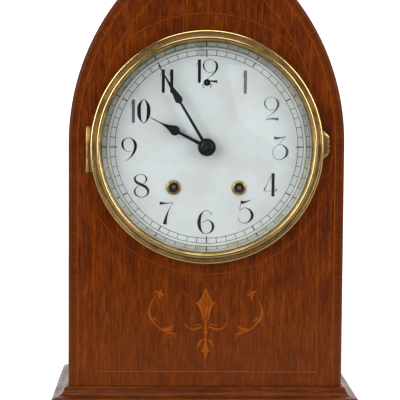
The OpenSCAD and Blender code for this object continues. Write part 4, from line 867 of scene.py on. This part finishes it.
marquetry = {
    "depth": 0.0006, "proud": 0.00003, "layer": 0.0000015, "steps": 28,
    "veinRise": (50, 72.5), "veinSteps": 12,
    "veins": ((0, 0.4), (-2.1, 0.36), (2.1, 0.32)),  # each vein's bow and its width
}
centreStrokes = [
    (1.0, [(0, 75.9, 0.1), (0, 73.4, 2.2), (0, 69.6, 4.7), (0, 63, 4.1), (0, 56.4, 2.9), (0, 49, 2.3),
           (0, 42.4, 1.0)]),
    (0.95, [(0, 42.7, 1.0), (0, 41.3, 2.6), (0, 39.9, 1.0)]),
    (0.95, [(0, 40, 0.9), (0, 38, 1.2), (0, 35.6, 1.9)]),
]
leftStrokes = [
    (0.8, [(-2.5, 46.1, 1.2), (-6.2, 44.3, 1.5), (-10.3, 43.8, 1.8), (-13.6, 45.3, 1.6),
           (-15.5, 47.7, 1.0), (-16, 50.1, 0.1)]),
    (0.7, [(-2.7, 47.4, 0.6), (-5.5, 47.5, 1.0), (-8.4, 46.7, 0.7), (-10.3, 45.9, 0.1)]),
    (0.9, [(-0.9, 41.4, 0.2), (-1.5, 41.4, 1.0), (-2.0, 41.4, 0.2)]),
    (1.0, [(-1.3, 36.3, 0.2), (-3.3, 35.0, 1.3), (-4.9, 32.7, 1.6), (-5.7, 30.7, 0.9), (-6.2, 28.9, 0.1)]),
    (0.95, [(-36.4, 70.9, 0.4), (-38.9, 68.8, 0.5), (-41.2, 65, 0.8), (-42.9, 60.4, 1.0),
            (-43.3, 56.6, 1.5), (-42.4, 53.2, 1.9), (-40.1, 49.6, 1.3), (-36.7, 45.6, 0.8),
            (-33.3, 43.2, 0.9), (-30.0, 42.0, 1.4)]),
    (1.0, [(-34.6, 70.8, 1.4), (-36.6, 72.2, 1.5), (-38.2, 73.2, 0.8), (-39.6, 73.9, 0.1)]),
    (1.0, [(-35.6, 70.4, 1.2), (-34.9, 72.1, 1.7), (-34.2, 73.4, 0.8), (-33.8, 74.4, 0.1)]),
    (1.0, [(-36.2, 71.2, 1.2), (-34.2, 70.9, 2.0), (-32.7, 70.5, 1.1), (-31.3, 70.0, 0.1)]),
    (1.0, [(-36.0, 71.2, 1.2), (-35.4, 69.4, 1.8), (-35.0, 67.8, 1.0), (-34.7, 66.1, 0.1)]),
    (0.9, [(-40.7, 52.1, 0.3), (-38.5, 51.1, 1.0), (-36.9, 50.1, 0.6), (-35.8, 49.1, 0.1)]),
    (0.85, [(-40.5, 53.0, 0.3), (-38.9, 52.6, 0.7), (-37.2, 51.8, 0.1)]),
    (0.7, [(-42.5, 51.4, 0.3), (-42.8, 48.9, 0.6), (-43.1, 46.2, 0.1)]),
    (1.0, [(-33.6, 43.6, 0.5), (-31.4, 43.9, 1.6), (-29.0, 44.0, 2.1), (-26.3, 45.2, 1.4),
           (-23.8, 47.2, 0.1)]),
    (1.0, [(-30.6, 42.9, 0.7), (-28.4, 43.1, 1.2), (-26.6, 43.4, 0.9), (-24.6, 43.5, 0.1)]),
    (0.85, [(-31.0, 41.9, 0.8), (-28.4, 41.5, 1.4), (-25.6, 40.6, 1.8), (-23.4, 39.9, 1.0),
            (-22.1, 39.3, 0.1)]),
    (0.7, [(-25.6, 40.3, 1.2), (-24.2, 38.4, 1.2), (-23.3, 36.5, 0.6), (-22.8, 34.6, 0.1)]),
    (0.3, [(-29.0, 73.5, 0.2), (-25.2, 74.3, 0.4), (-21.4, 74.0, 0.3), (-17.6, 72.7, 0.7),
           (-14.4, 70.6, 1.2), (-11.9, 69.1, 0.9), (-9.3, 68.2, 0.1)]),
    (0.25, [(-19.6, 71.6, 0.1), (-16.8, 70.7, 0.7), (-14.0, 69.6, 0.1)]),
]
wing = {
    "tone": 0.85,
    "outer": [(-2.9, 70.1), (-3.9, 67.6), (-5.4, 65.6), (-7.6, 64.1), (-6.4, 62.6), (-5.0, 60.4),
              (-3.5, 56.4), (-2.1, 51.0)],
    "inner": [(-2.7, 69.9), (-2.7, 67.6), (-2.5, 65.5), (-2.4, 63.4), (-2.2, 61.2), (-2.0, 58.6),
              (-1.8, 55.2), (-1.7, 51.0)],
}
spear = [(-0.9, 36.1), (-1.3, 31.8), (-1.9, 29), (-3.1, 27.1), (-1.6, 25.8), (-1.0, 23.2), (-0.05, 20.2)]


def makeMarquetry():
    # Strokes and leaves, each between two smooth edges and laid a little over the one before
    steps = marquetry["steps"]
    parts = []

    def lay(left, right, tone):
        front = faceY - marquetry["proud"] - len(parts) * marquetry["layer"]
        left, right = left + [0, baseTop], right + [0, baseTop]
        parts.append(slabBetween(left, right, front, marquetry["depth"], tone))

    for tone, rows in centreStrokes:
        lay(*strokeEdges(through(rows, steps) * mm), tone)
    for side in (1, -1):
        for tone, rows in leftStrokes:
            lay(*strokeEdges(through(rows, steps) * [side * mm, mm, mm]), tone)
        outer, inner = (through(wing[edge], steps) * [side * mm, mm] for edge in ("outer", "inner"))
        lay(outer, inner, wing["tone"])
    edge = through(spear, steps) * mm
    lay(edge, edge * [-1, 1], 1.0)
    bow = np.sin(np.linspace(0, math.pi, marquetry["veinSteps"]))
    rise = np.linspace(*marquetry["veinRise"], marquetry["veinSteps"])
    for lean, width in marquetry["veins"]:  # dark veins of the blade
        vein = np.stack([lean * bow, rise, np.full_like(rise, width)], axis=1)
        lay(*strokeEdges(vein * mm), 0.0)
    verts, faces, tone = gather(parts)
    newPiece("marquetry", verts, faces, finishes["inlay"], "case", tone)


makeMarquetry()
print("marquetry laid")

# Dial printing: numerals as thick and thin strokes in millimetres about each figure's middle

numerals = {
    "ringRadius": 0.0574, "turned": 0.3, "weight": 1.18, "lift": 0.00002, "layer": 0.000002, "steps": 26,
    "thin": 0.35, "thinInk": 0.8,  # a stroke thinner than this has worn to this share of its ink
}
hair = 0.34  # the thin strokes' width
figures = {
    "0": [[(-0.5, 8.9, hair), (-1.9, 7.4, 1.0), (-3.4, 4, 2.1), (-3.65, 0.2, 2.4), (-3.3, -3.8, 2.1),
           (-2, -7.2, 0.9), (-0.6, -8.8, hair)],
          [(0.5, 8.9, hair), (1.9, 7.4, 1.0), (3.4, 4, 2.1), (3.65, 0.2, 2.4), (3.3, -3.8, 2.1),
           (2, -7.2, 0.9), (0.6, -8.8, hair)],
          [(-0.6, 8.9, hair), (0, 9.1, hair), (0.6, 8.9, hair)],
          [(-0.7, -8.8, hair), (0, -9, hair), (0.7, -8.8, hair)]],
    "1": [[(0, 8.9, 2.0), (0, 0, 2.0), (0, -8.4, 2.0)],
          [(0, -8.3, 1.7), (-0.1, -8.6, 1.0), (-0.2, -9.1, 0.7)],
          [(-0.9, 7.2, hair), (-1.7, 5.4, hair), (-2.3, 3.4, 0.1)]],
    "2": [[(-2.9, 8.4, hair), (-4.6, 6.7, 0.6), (-5.2, 4.2, 1.0), (-4.5, 1.8, 0.8), (-2.6, -0.4, 0.25)],
          [(-2.6, -0.4, 0.25), (0.1, -1.1, hair), (2.3, 0.1, hair)],
          [(-2.9, 8.4, hair), (-0.5, 9.1, hair), (2.1, 8.5, 0.25)],
          [(2.1, 8.5, 0.25), (4.4, 6.3, 1.1), (5.1, 3.6, 1.5), (4.3, 0.8, 1.2), (2.3, -1.9, 0.7),
           (-0.9, -4.7, 0.25), (-4, -7.2, hair)],
          [(-4.4, -8.5, hair), (-2.1, -7.8, 0.6), (0.4, -7.4, 0.9), (2.9, -7.6, 1.2), (5.3, -7.7, 1.9)]],
    "3": [[(-4.6, 7.8, 2.1), (-2.2, 7.7, 1.4), (0.5, 8.0, 0.8), (4.1, 8.9, hair)],
          [(4.1, 8.8, hair), (1.6, 5.8, hair), (-0.8, 3, hair)],
          [(-0.9, 2.8, hair), (1.9, 2.4, 0.5), (4.4, 0.4, 1.3), (5.5, -2.6, 1.8), (4.8, -5.5, 1.4),
           (2.8, -7.6, 0.6), (-0.5, -9, hair)],
          [(-0.5, -9, hair), (-3.6, -7.8, hair), (-5.7, -4.4, hair), (-5, -0.8, hair), (-2.8, 1.9, hair),
           (-0.9, 2.8, hair)]],
    "4": [[(2.1, 8.9, 2.0), (2.1, 0, 2.0), (2.1, -8.9, 2.0)],
          [(1.5, 8.5, hair), (-1.8, 2.1, 0.25), (-4.8, -4.4, 0.8)],
          [(-5, -4.8, 0.25), (0, -4.8, 0.2), (4.2, -4.8, 0.2)],
          [(4, -4.8, 0.3), (4.6, -3.9, 0.9), (5, -3, 0.3)]],
    "5": [[(-3.7, 7.2, 2.3), (-1.5, 7.2, 1.6), (1.2, 7.9, 0.8), (4.2, 9.1, hair)],
          [(-3.7, 6.1, hair), (-4.1, 3.6, hair), (-4.3, 1, hair)],
          [(-4.3, 1, hair), (-2.6, 2.4, hair), (0.4, 2.9, 0.4), (3.7, 1, 1.3), (5.3, -2.5, 1.9),
           (4.5, -5.5, 1.5), (2.1, -8, 0.7), (-1.3, -9, hair)],
          [(-1.3, -9, hair), (-3.9, -7.7, hair), (-5.2, -5.4, hair), (-5.3, -3.3, 0.1)]],
    "6": [[(-1.5, 8.6, 0.3), (-3.9, 5.4, 1.5), (-5, 0.5, 2.3), (-4.5, -3.8, 1.9), (-2.7, -7.3, 0.9),
           (-0.4, -8.7, hair)],
          [(-1.5, 8.6, hair), (1, 9.2, hair), (3.2, 8.2, hair), (4, 6.9, hair)],
          [(3.6, 6.5, 0.3), (4.1, 6.5, 1.1), (4.6, 6.5, 0.3)],
          [(-2.7, -0.3, hair), (-0.1, 1.5, hair), (2.6, 1.6, 0.45), (5, -0.5, 1.4), (5.7, -3.3, 1.75),
           (5, -5.9, 1.3), (2.8, -8, 0.6), (-0.1, -8.8, hair)]],
    "7": [[(-5.2, 7.4, 2.3), (-2.9, 7.3, 1.5), (0.3, 7.4, 0.7), (5.2, 7.9, hair)],
          [(5.1, 7.8, hair), (3.2, 4.9, 0.25), (1.4, 1, 0.7), (-0.1, -3.4, 1.5), (-1.2, -8.8, 2.6)]],
    "8": [[(-0.3, 9.2, hair), (-3.3, 8.5, 0.5), (-5, 6, 1.3), (-3.8, 3.3, 1.6), (-0.3, 1.5, 1.8),
           (3.3, -0.4, 1.9), (5.2, -3.4, 1.6), (4.2, -6.6, 0.8), (0.3, -8.6, hair)],
          [(-0.3, 9.2, hair), (2.4, 8.4, 0.6), (3.9, 5.8, 1.1), (2.9, 3.2, 0.6), (1.2, 1.7, hair)],
          [(-1.6, 0.4, hair), (-3.7, -0.8, 0.5), (-5.1, -3.6, 1.1), (-3.8, -6.8, 0.8), (0.3, -8.6, hair)]],
    "9": [[(-0.4, 8.7, hair), (-2.9, 8, 0.5), (-4.9, 5.9, 1.2), (-5.2, 3.4, 1.5), (-4.4, 0.8, 1.0),
           (-2.7, -1.3, 0.3)],
          [(-2.7, -1.3, hair), (-0.4, -2, hair), (2.1, -1.3, 0.1)],
          [(-0.4, 8.7, hair), (1.6, 8.2, 0.6), (4, 5.6, 1.6), (4.8, 2.6, 1.95), (4.1, -0.9, 1.7),
           (2.1, -4.7, 1.0), (-0.4, -7.4, 0.4), (-2.7, -8.8, hair)]],
}
# Each hour: its lift, then its figures with their shift from the middle and how whole their ink is
hours = {
    12: (0.1, ("1", -5.6, 1.0), ("2", 2.7, 1.0)), 1: (-0.45, ("1", 0.6, 0.4)), 2: (0.3, ("2", -0.4, 0.65)),
    3: (-0.9, ("3", -1.4, 0.7)), 4: (-0.15, ("4", -1.0, 1.0)), 5: (0.3, ("5", 1.0, 1.0)),
    6: (-0.3, ("6", -0.7, 1.0)), 7: (-0.6, ("7", -2.0, 1.0)), 8: (-1.4, ("8", 0.0, 1.0)),
    9: (-1.7, ("9", -1.5, 1.0)), 10: (-1.6, ("1", -6.0, 0.4), ("0", 1.9, 1.0)),
    11: (0.25, ("1", -4.3, 1.0), ("1", 2.1, 1.0)),
}
minuteTrack = {
    "inner": 0.0697, "outer": 0.0737, "lineWidth": 0.00042, "tickWidth": 0.00046, "fiveWidth": 0.0008,
    "quarterReach": 0.0016,
    "start": -264.3, "sweep": 364.8, "steps": 720,  # of the circles, in degrees; their ends overlap
}
marks = {
    "S": [[(1.0, 1.1, 0.2), (0, 1.5, 0.35), (-0.9, 0.8, 0.35), (0, 0, 0.45), (0.9, -0.8, 0.35),
           (0, -1.5, 0.35), (-1.0, -1.1, 0.2)]],
    "F": [[(-0.5, 1.4, 0.4), (-0.5, 0, 0.4), (-0.5, -1.4, 0.4)], [(-0.5, 1.3, 0.35), (1.0, 1.3, 0.3)],
          [(-0.5, 0.1, 0.3), (0.7, 0.1, 0.3)]],
    "up": 0.0462, "apart": 0.0061, "tone": 0.7,
}


def inkStroke(parts, rows, across, up, tone):
    # One printed stroke about a place on the dial; strokes take turns in depth, so that no two faces meet
    curve = through(rows, numerals["steps"]) * [mm, mm, mm * numerals["weight"]] + [across, up, 0]
    front = dialY - numerals["lift"] - (len(parts) % 6) * numerals["layer"]
    parts.append(slabBetween(*strokeEdges(curve), front, numerals["lift"], tone))


def printOnDial(name, parts):
    verts, faces, tone = gather(parts)
    newPiece(name, verts, faces, finishes["ink"], "case", tone)


def makeNumerals():
    # Each hour stands upright at its place on a ring: middle + radius * (cosine, sine)
    parts = []
    for hour, (lift, *glyphs) in hours.items():
        x, z = numerals["ringRadius"] * rays(math.radians(90 - 30 * hour + numerals["turned"]))
        for glyph, shift, tone in glyphs:
            for rows in figures[glyph]:
                thin = max(row[2] for row in rows) < numerals["thin"]
                share = numerals["thinInk"] if thin else 1.0
                inkStroke(parts, rows, dialX + x + shift * mm, dialZ + z + lift * mm, tone * share)
    printOnDial("numerals", parts)


def makeMinuteTrack():
    # Two circles and sixty ticks, each at middle + radius * (cosine, sine): every fifth tick is wider and
    # every fifteenth longer
    front = dialY - numerals["lift"]
    middle = np.array([dialX, dialZ])
    half = minuteTrack["lineWidth"] / 2
    start = minuteTrack["start"]
    angle = np.radians(np.linspace(start, start - minuteTrack["sweep"], minuteTrack["steps"]))
    tone = np.repeat(0.8 + 0.2 * np.sin(angle * 3 + 1), 4)  # the print is worn here and there
    parts = []
    for radius in (minuteTrack["inner"], minuteTrack["outer"]):
        edges = (middle + rays(angle) * (radius + half), middle + rays(angle) * (radius - half))
        parts.append(slabBetween(*edges, front, numerals["lift"], tone))
    for minute in range(60):
        way = rays(math.radians(90 - 6 * minute + numerals["turned"]))
        half = minuteTrack["fiveWidth" if minute % 5 == 0 else "tickWidth"] / 2
        side = np.array([-way[1], way[0]]) * half
        start = minuteTrack["inner"] - (minuteTrack["quarterReach"] if minute % 15 == 0 else 0)
        ends = middle + np.outer([start, minuteTrack["outer"]], way)
        tone = 1.0 if minute % 5 == 0 else 0.8 + 0.2 * math.sin(minute * 0.7)
        tick = slabBetween(ends + side, ends - side, front - numerals["layer"], numerals["lift"], tone)
        parts.append(tick)
    printOnDial("minuteTrack", parts)


def makeRegulatorMarks():
    # S and F to the left and right of the regulator's arbor
    parts = []
    for side, letter in ((-0.5, "S"), (0.5, "F")):
        for rows in marks[letter]:
            inkStroke(parts, rows, dialX + side * marks["apart"], dialZ + marks["up"], marks["tone"])
    printOnDial("regulatorMarks", parts)


makeNumerals()
makeMinuteTrack()
makeRegulatorMarks()
print("dial printed")

# Slotted screws in the leaves of the back door's hinges

leafScrews = {
    "radius": 0.0019, "dome": 0.0007, "slotWidth": 0.0005, "slotDepth": 0.0004, "sink": 0.0006,
    "spacing": 0.0095, "fromSide": 0.0042, "fromEnd": 0.005,  # middle screw, from a leaf's side and end
    "leafThickness": 0.0012,
}


def screwHead(x, z, y, turn):
    # Screw head on the back: height falls from the middle as a shallow dome, less a slot across it
    rings, spokes = 9, 32
    share = np.linspace(0, 1, rings)[1:]
    angle = np.linspace(0, 2 * math.pi, spokes, endpoint=False)
    r, a = np.meshgrid(share * leafScrews["radius"], angle, indexing="ij")
    height = leafScrews["dome"] * (1 - (r / leafScrews["radius"]) ** 2 * 0.75)
    acrossSlot = np.abs(r * np.sin(a - turn))
    height = height - leafScrews["slotDepth"] * (acrossSlot < leafScrews["slotWidth"] / 2)
    top = np.stack([x + r * np.cos(a), y + height, z + r * np.sin(a)], axis=2).reshape(-1, 3)
    skirt = np.stack([x + leafScrews["radius"] * np.cos(angle), np.full(spokes, y - leafScrews["sink"]),
                      z + leafScrews["radius"] * np.sin(angle)], axis=1)
    poles = np.array([[x, y + leafScrews["dome"] - leafScrews["slotDepth"], z],
                      [x, y - leafScrews["sink"], z]])
    verts = np.vstack([top, skirt, poles])
    quads = ringFaces(rings, spokes)[:, ::-1]
    topPole, footPole = rings * spokes, rings * spokes + 1
    last = (rings - 1) * spokes
    k = np.arange(spokes)
    m = (k + 1) % spokes
    topFan = np.stack([np.full(spokes, topPole), k, m], axis=1)
    footFan = np.stack([np.full(spokes, footPole), last + m, last + k], axis=1)
    return verts, [*quads, *topFan, *footFan]


def makeLeafScrews(name, node, body, atLow):
    low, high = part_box(node)
    x = low.x + leafScrews["fromSide"] if atLow else high.x - leafScrews["fromSide"]
    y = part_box("back_board")[1].y + leafScrews["leafThickness"]
    leafLow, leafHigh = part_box("door_hinge_leaves")
    heads = []
    for hinge, middle in enumerate((leafLow.z + leafScrews["fromEnd"], leafHigh.z - leafScrews["fromEnd"])):
        for place in (-1, 0, 1):
            turn = 0.7 * place + hinge + (0.4 if atLow else 1.1)  # no two slots lie alike
            heads.append(screwHead(x, middle + place * leafScrews["spacing"], y, turn))
    verts, faces = gather([(*head, 0.0) for head in heads])[:2]
    newPiece(name, verts, faces, finishes["hinge"], body)


makeLeafScrews("hingeScrewsFixed", "door_hinge_frames", "case", True)
makeLeafScrews("hingeScrewsDoor", "door_hinge_leaves", "door", False)
print("hinge screws set")

# Floor, lights and camera

studio = {
    "floorColour": rgb(236, 236, 236), "floorSize": 4.0, "floorFront": 1.6, "floorMiddle": 0.4,
    "bendAt": 1.6, "bendRadius": 0.8, "bendSteps": 25, "wallHeight": 3.0,
    "floorLift": 0.6, "liftFrom": 0.7, "liftTo": 1.8,  # the floor's glow rises to 1 far from the clock
    "floorDim": 0.88,  # how much of the floor in front gloss doesn't see
    "sideDiffuse": 0.02,  # light from all round on dull surfaces
    "frontGloss": 0.001, "sideGloss": 0.08,  # what gloss sees ahead of the clock, and beside and behind it
    "cardAhead": -1.5, "cardStrength": 1.2,
    "card": [(0.20, 0.80), (0.20, 0.72), (0.245, 0.53), (0.27, 0.40), (0.325, 0.32), (0.60, 0.135),
             (0.75, 0.055), (0.9, 0.80)],
}


def stageSheet(name, verts, faces, material):
    mesh = bpy.data.meshes.new(name)
    mesh.from_pydata(verts, [], faces)
    mesh.materials.append(material)
    sheet = linked(name, mesh)
    return sheet


def makeFloor():
    # A wide flat sheet whose far edge turns up in a quarter circle and goes on as a wall
    size, bend = studio["floorSize"], studio["bendRadius"]
    turn = np.linspace(0, math.pi / 2, studio["bendSteps"])
    ys = np.concatenate([[-studio["floorFront"], studio["floorMiddle"]],
                         studio["bendAt"] + bend * np.sin(turn), [studio["bendAt"] + bend]])
    zs = np.concatenate([[0, 0], bend * (1 - np.cos(turn)), [bend + studio["wallHeight"]]])
    verts = np.array([[x, y, z] for y, z in zip(ys, zs) for x in (-size, size)])
    i = np.arange(len(ys) - 1) * 2
    faces = np.stack([i, i + 1, i + 3, i + 2], axis=1)
    material, tree, shader, position = newFinish("floorPaper")
    grit = noise(tree, position, scale=40, detail=3)
    path = put(tree, "LightPath", {}).node.outputs
    ahead = remap(tree, split(tree, position)["Y"], 0.0, -0.25, soft=True)
    mirrored = calc(tree, "MINIMUM", path["Glossy Depth"], 1.0)  # also after a pass through the glass
    dim = times(tree, times(tree, mirrored, ahead), studio["floorDim"])
    paper = blendColour(tree, grit, studio["floorColour"], rgb(240, 240, 240))
    fill(tree, shader, {"Base Color": blendColour(tree, dim, paper, (0, 0, 0, 1)),
                        "Roughness": 0.9, "Specular IOR Level": 0.1})
    seen = calc(tree, "MAXIMUM", path["Is Glossy Ray"], path["Is Transmission Ray"])
    seen = calc(tree, "MAXIMUM", path["Is Camera Ray"], seen)
    far = lengthOf(tree, position)
    rise = remap(tree, far, studio["liftFrom"], studio["liftTo"], studio["floorLift"], 1.0, soft=True)
    lift = times(tree, times(tree, seen, rise), minus(tree, 1.0, dim))
    glow = put(tree, "Emission", {0: (1, 1, 1, 1), 1: lift})
    both = put(tree, "AddShader", {0: shader.outputs[0], 1: glow})
    tree.links.new(both, tree.nodes["Material Output"].inputs["Surface"])
    stageSheet("floor", verts.tolist(), faces.tolist(), material)


def makeWindowCard():
    # A pale card far in front that only shiny things see: it gives the domed glass its bright patch
    verts = [[x, studio["cardAhead"], z] for x, z in studio["card"]]
    material, tree = newFinish("cardGlow")[:2]
    glow = put(tree, "Emission", {0: (1, 1, 1, 1), 1: studio["cardStrength"]})
    tree.links.new(glow, tree.nodes["Material Output"].inputs["Surface"])
    sheet = stageSheet("windowCard", verts, [list(range(len(verts)))], material)
    for ray in ("camera", "diffuse", "transmission", "shadow"):
        setattr(sheet, "visible_" + ray, False)


def makeWorld():
    # White for the camera and straight through the glass; gloss sees it dim in front, brighter behind
    world = bpy.data.worlds.new("studio")
    bpy.context.scene.world = world
    world.use_nodes = True
    tree = world.node_tree
    back = tree.nodes["Background"]
    fill(tree, back, {"Color": (1, 1, 1, 1)})
    way = split(tree, put(tree, "TexCoord", {}).node.outputs["Generated"])
    gloss = remap(tree, way["Y"], -0.4, 0.0, studio["frontGloss"], studio["sideGloss"], soft=True)
    path = put(tree, "LightPath", {}).node.outputs
    mirrored = calc(tree, "MINIMUM", path["Glossy Depth"], 1.0)
    strength = blend(tree, mirrored, studio["sideDiffuse"], gloss)
    straight = minus(tree, path["Is Transmission Ray"], mirrored, clamp=True)
    white = calc(tree, "MAXIMUM", path["Is Camera Ray"], straight)
    tree.links.new(blend(tree, white, strength, 1.0), back.inputs["Strength"])


lamps = {  # place, what it points at, width and height, watts
    "leftBox": ((-1.35, -1.35, 0.75), (0, 0, 0.2), (1.0, 1.5), 26),
    "rightBox": ((1.45, -1.25, 0.8), (0, 0, 0.2), (0.9, 1.4), 20),
    "topBox": ((0.0, -0.5, 1.9), (0, 0, 0.15), (1.4, 1.0), 18),
    "backBox": ((0.3, 1.3, 1.3), (0, 0, 0.2), (1.2, 1.0), 12),
}


def aimedAt(place, target):
    # Places a lamp so that it faces its target, upright: its axes are right, up and away from the target
    ahead = np.array(target, float) - place
    ahead /= np.linalg.norm(ahead)
    right = np.cross(ahead, (0, 0, 1))
    right /= np.linalg.norm(right)
    up = np.cross(right, ahead)
    turn = Matrix([list(right) + [0], list(up) + [0], list(-ahead) + [0], [0, 0, 0, 1]]).transposed()
    return Matrix.Translation(place) @ turn


def makeLamps():
    for name, (place, target, size, watts) in lamps.items():
        data = bpy.data.lights.new(name, "AREA")
        data.shape = "RECTANGLE"
        data.size, data.size_y = size
        data.energy = watts
        linked(name, data).matrix_world = aimedAt(place, target)


camera = {"place": (-0.0338, -1.18795, 0.2474), "down": 4.17, "right": 1.465, "roll": 0.4, "lens": 133.9}


def makeCamera():
    data = bpy.data.cameras.new("camera")
    data.sensor_width = 36
    data.lens = camera["lens"]
    view = linked("camera", data)
    turns = (("Z", -camera["right"]), ("X", 90 - camera["down"]), ("Z", camera["roll"]))
    matrix = Matrix.Translation(camera["place"])
    for axis, degrees in turns:
        matrix = matrix @ Matrix.Rotation(math.radians(degrees), 4, axis)
    view.matrix_world = matrix
    bpy.context.scene.camera = view


makeFloor()
makeWindowCard()
makeWorld()
makeLamps()
makeCamera()
bpy.context.scene.view_settings.view_transform = "Standard"
print("studio set")

bpy.context.view_layer.update()
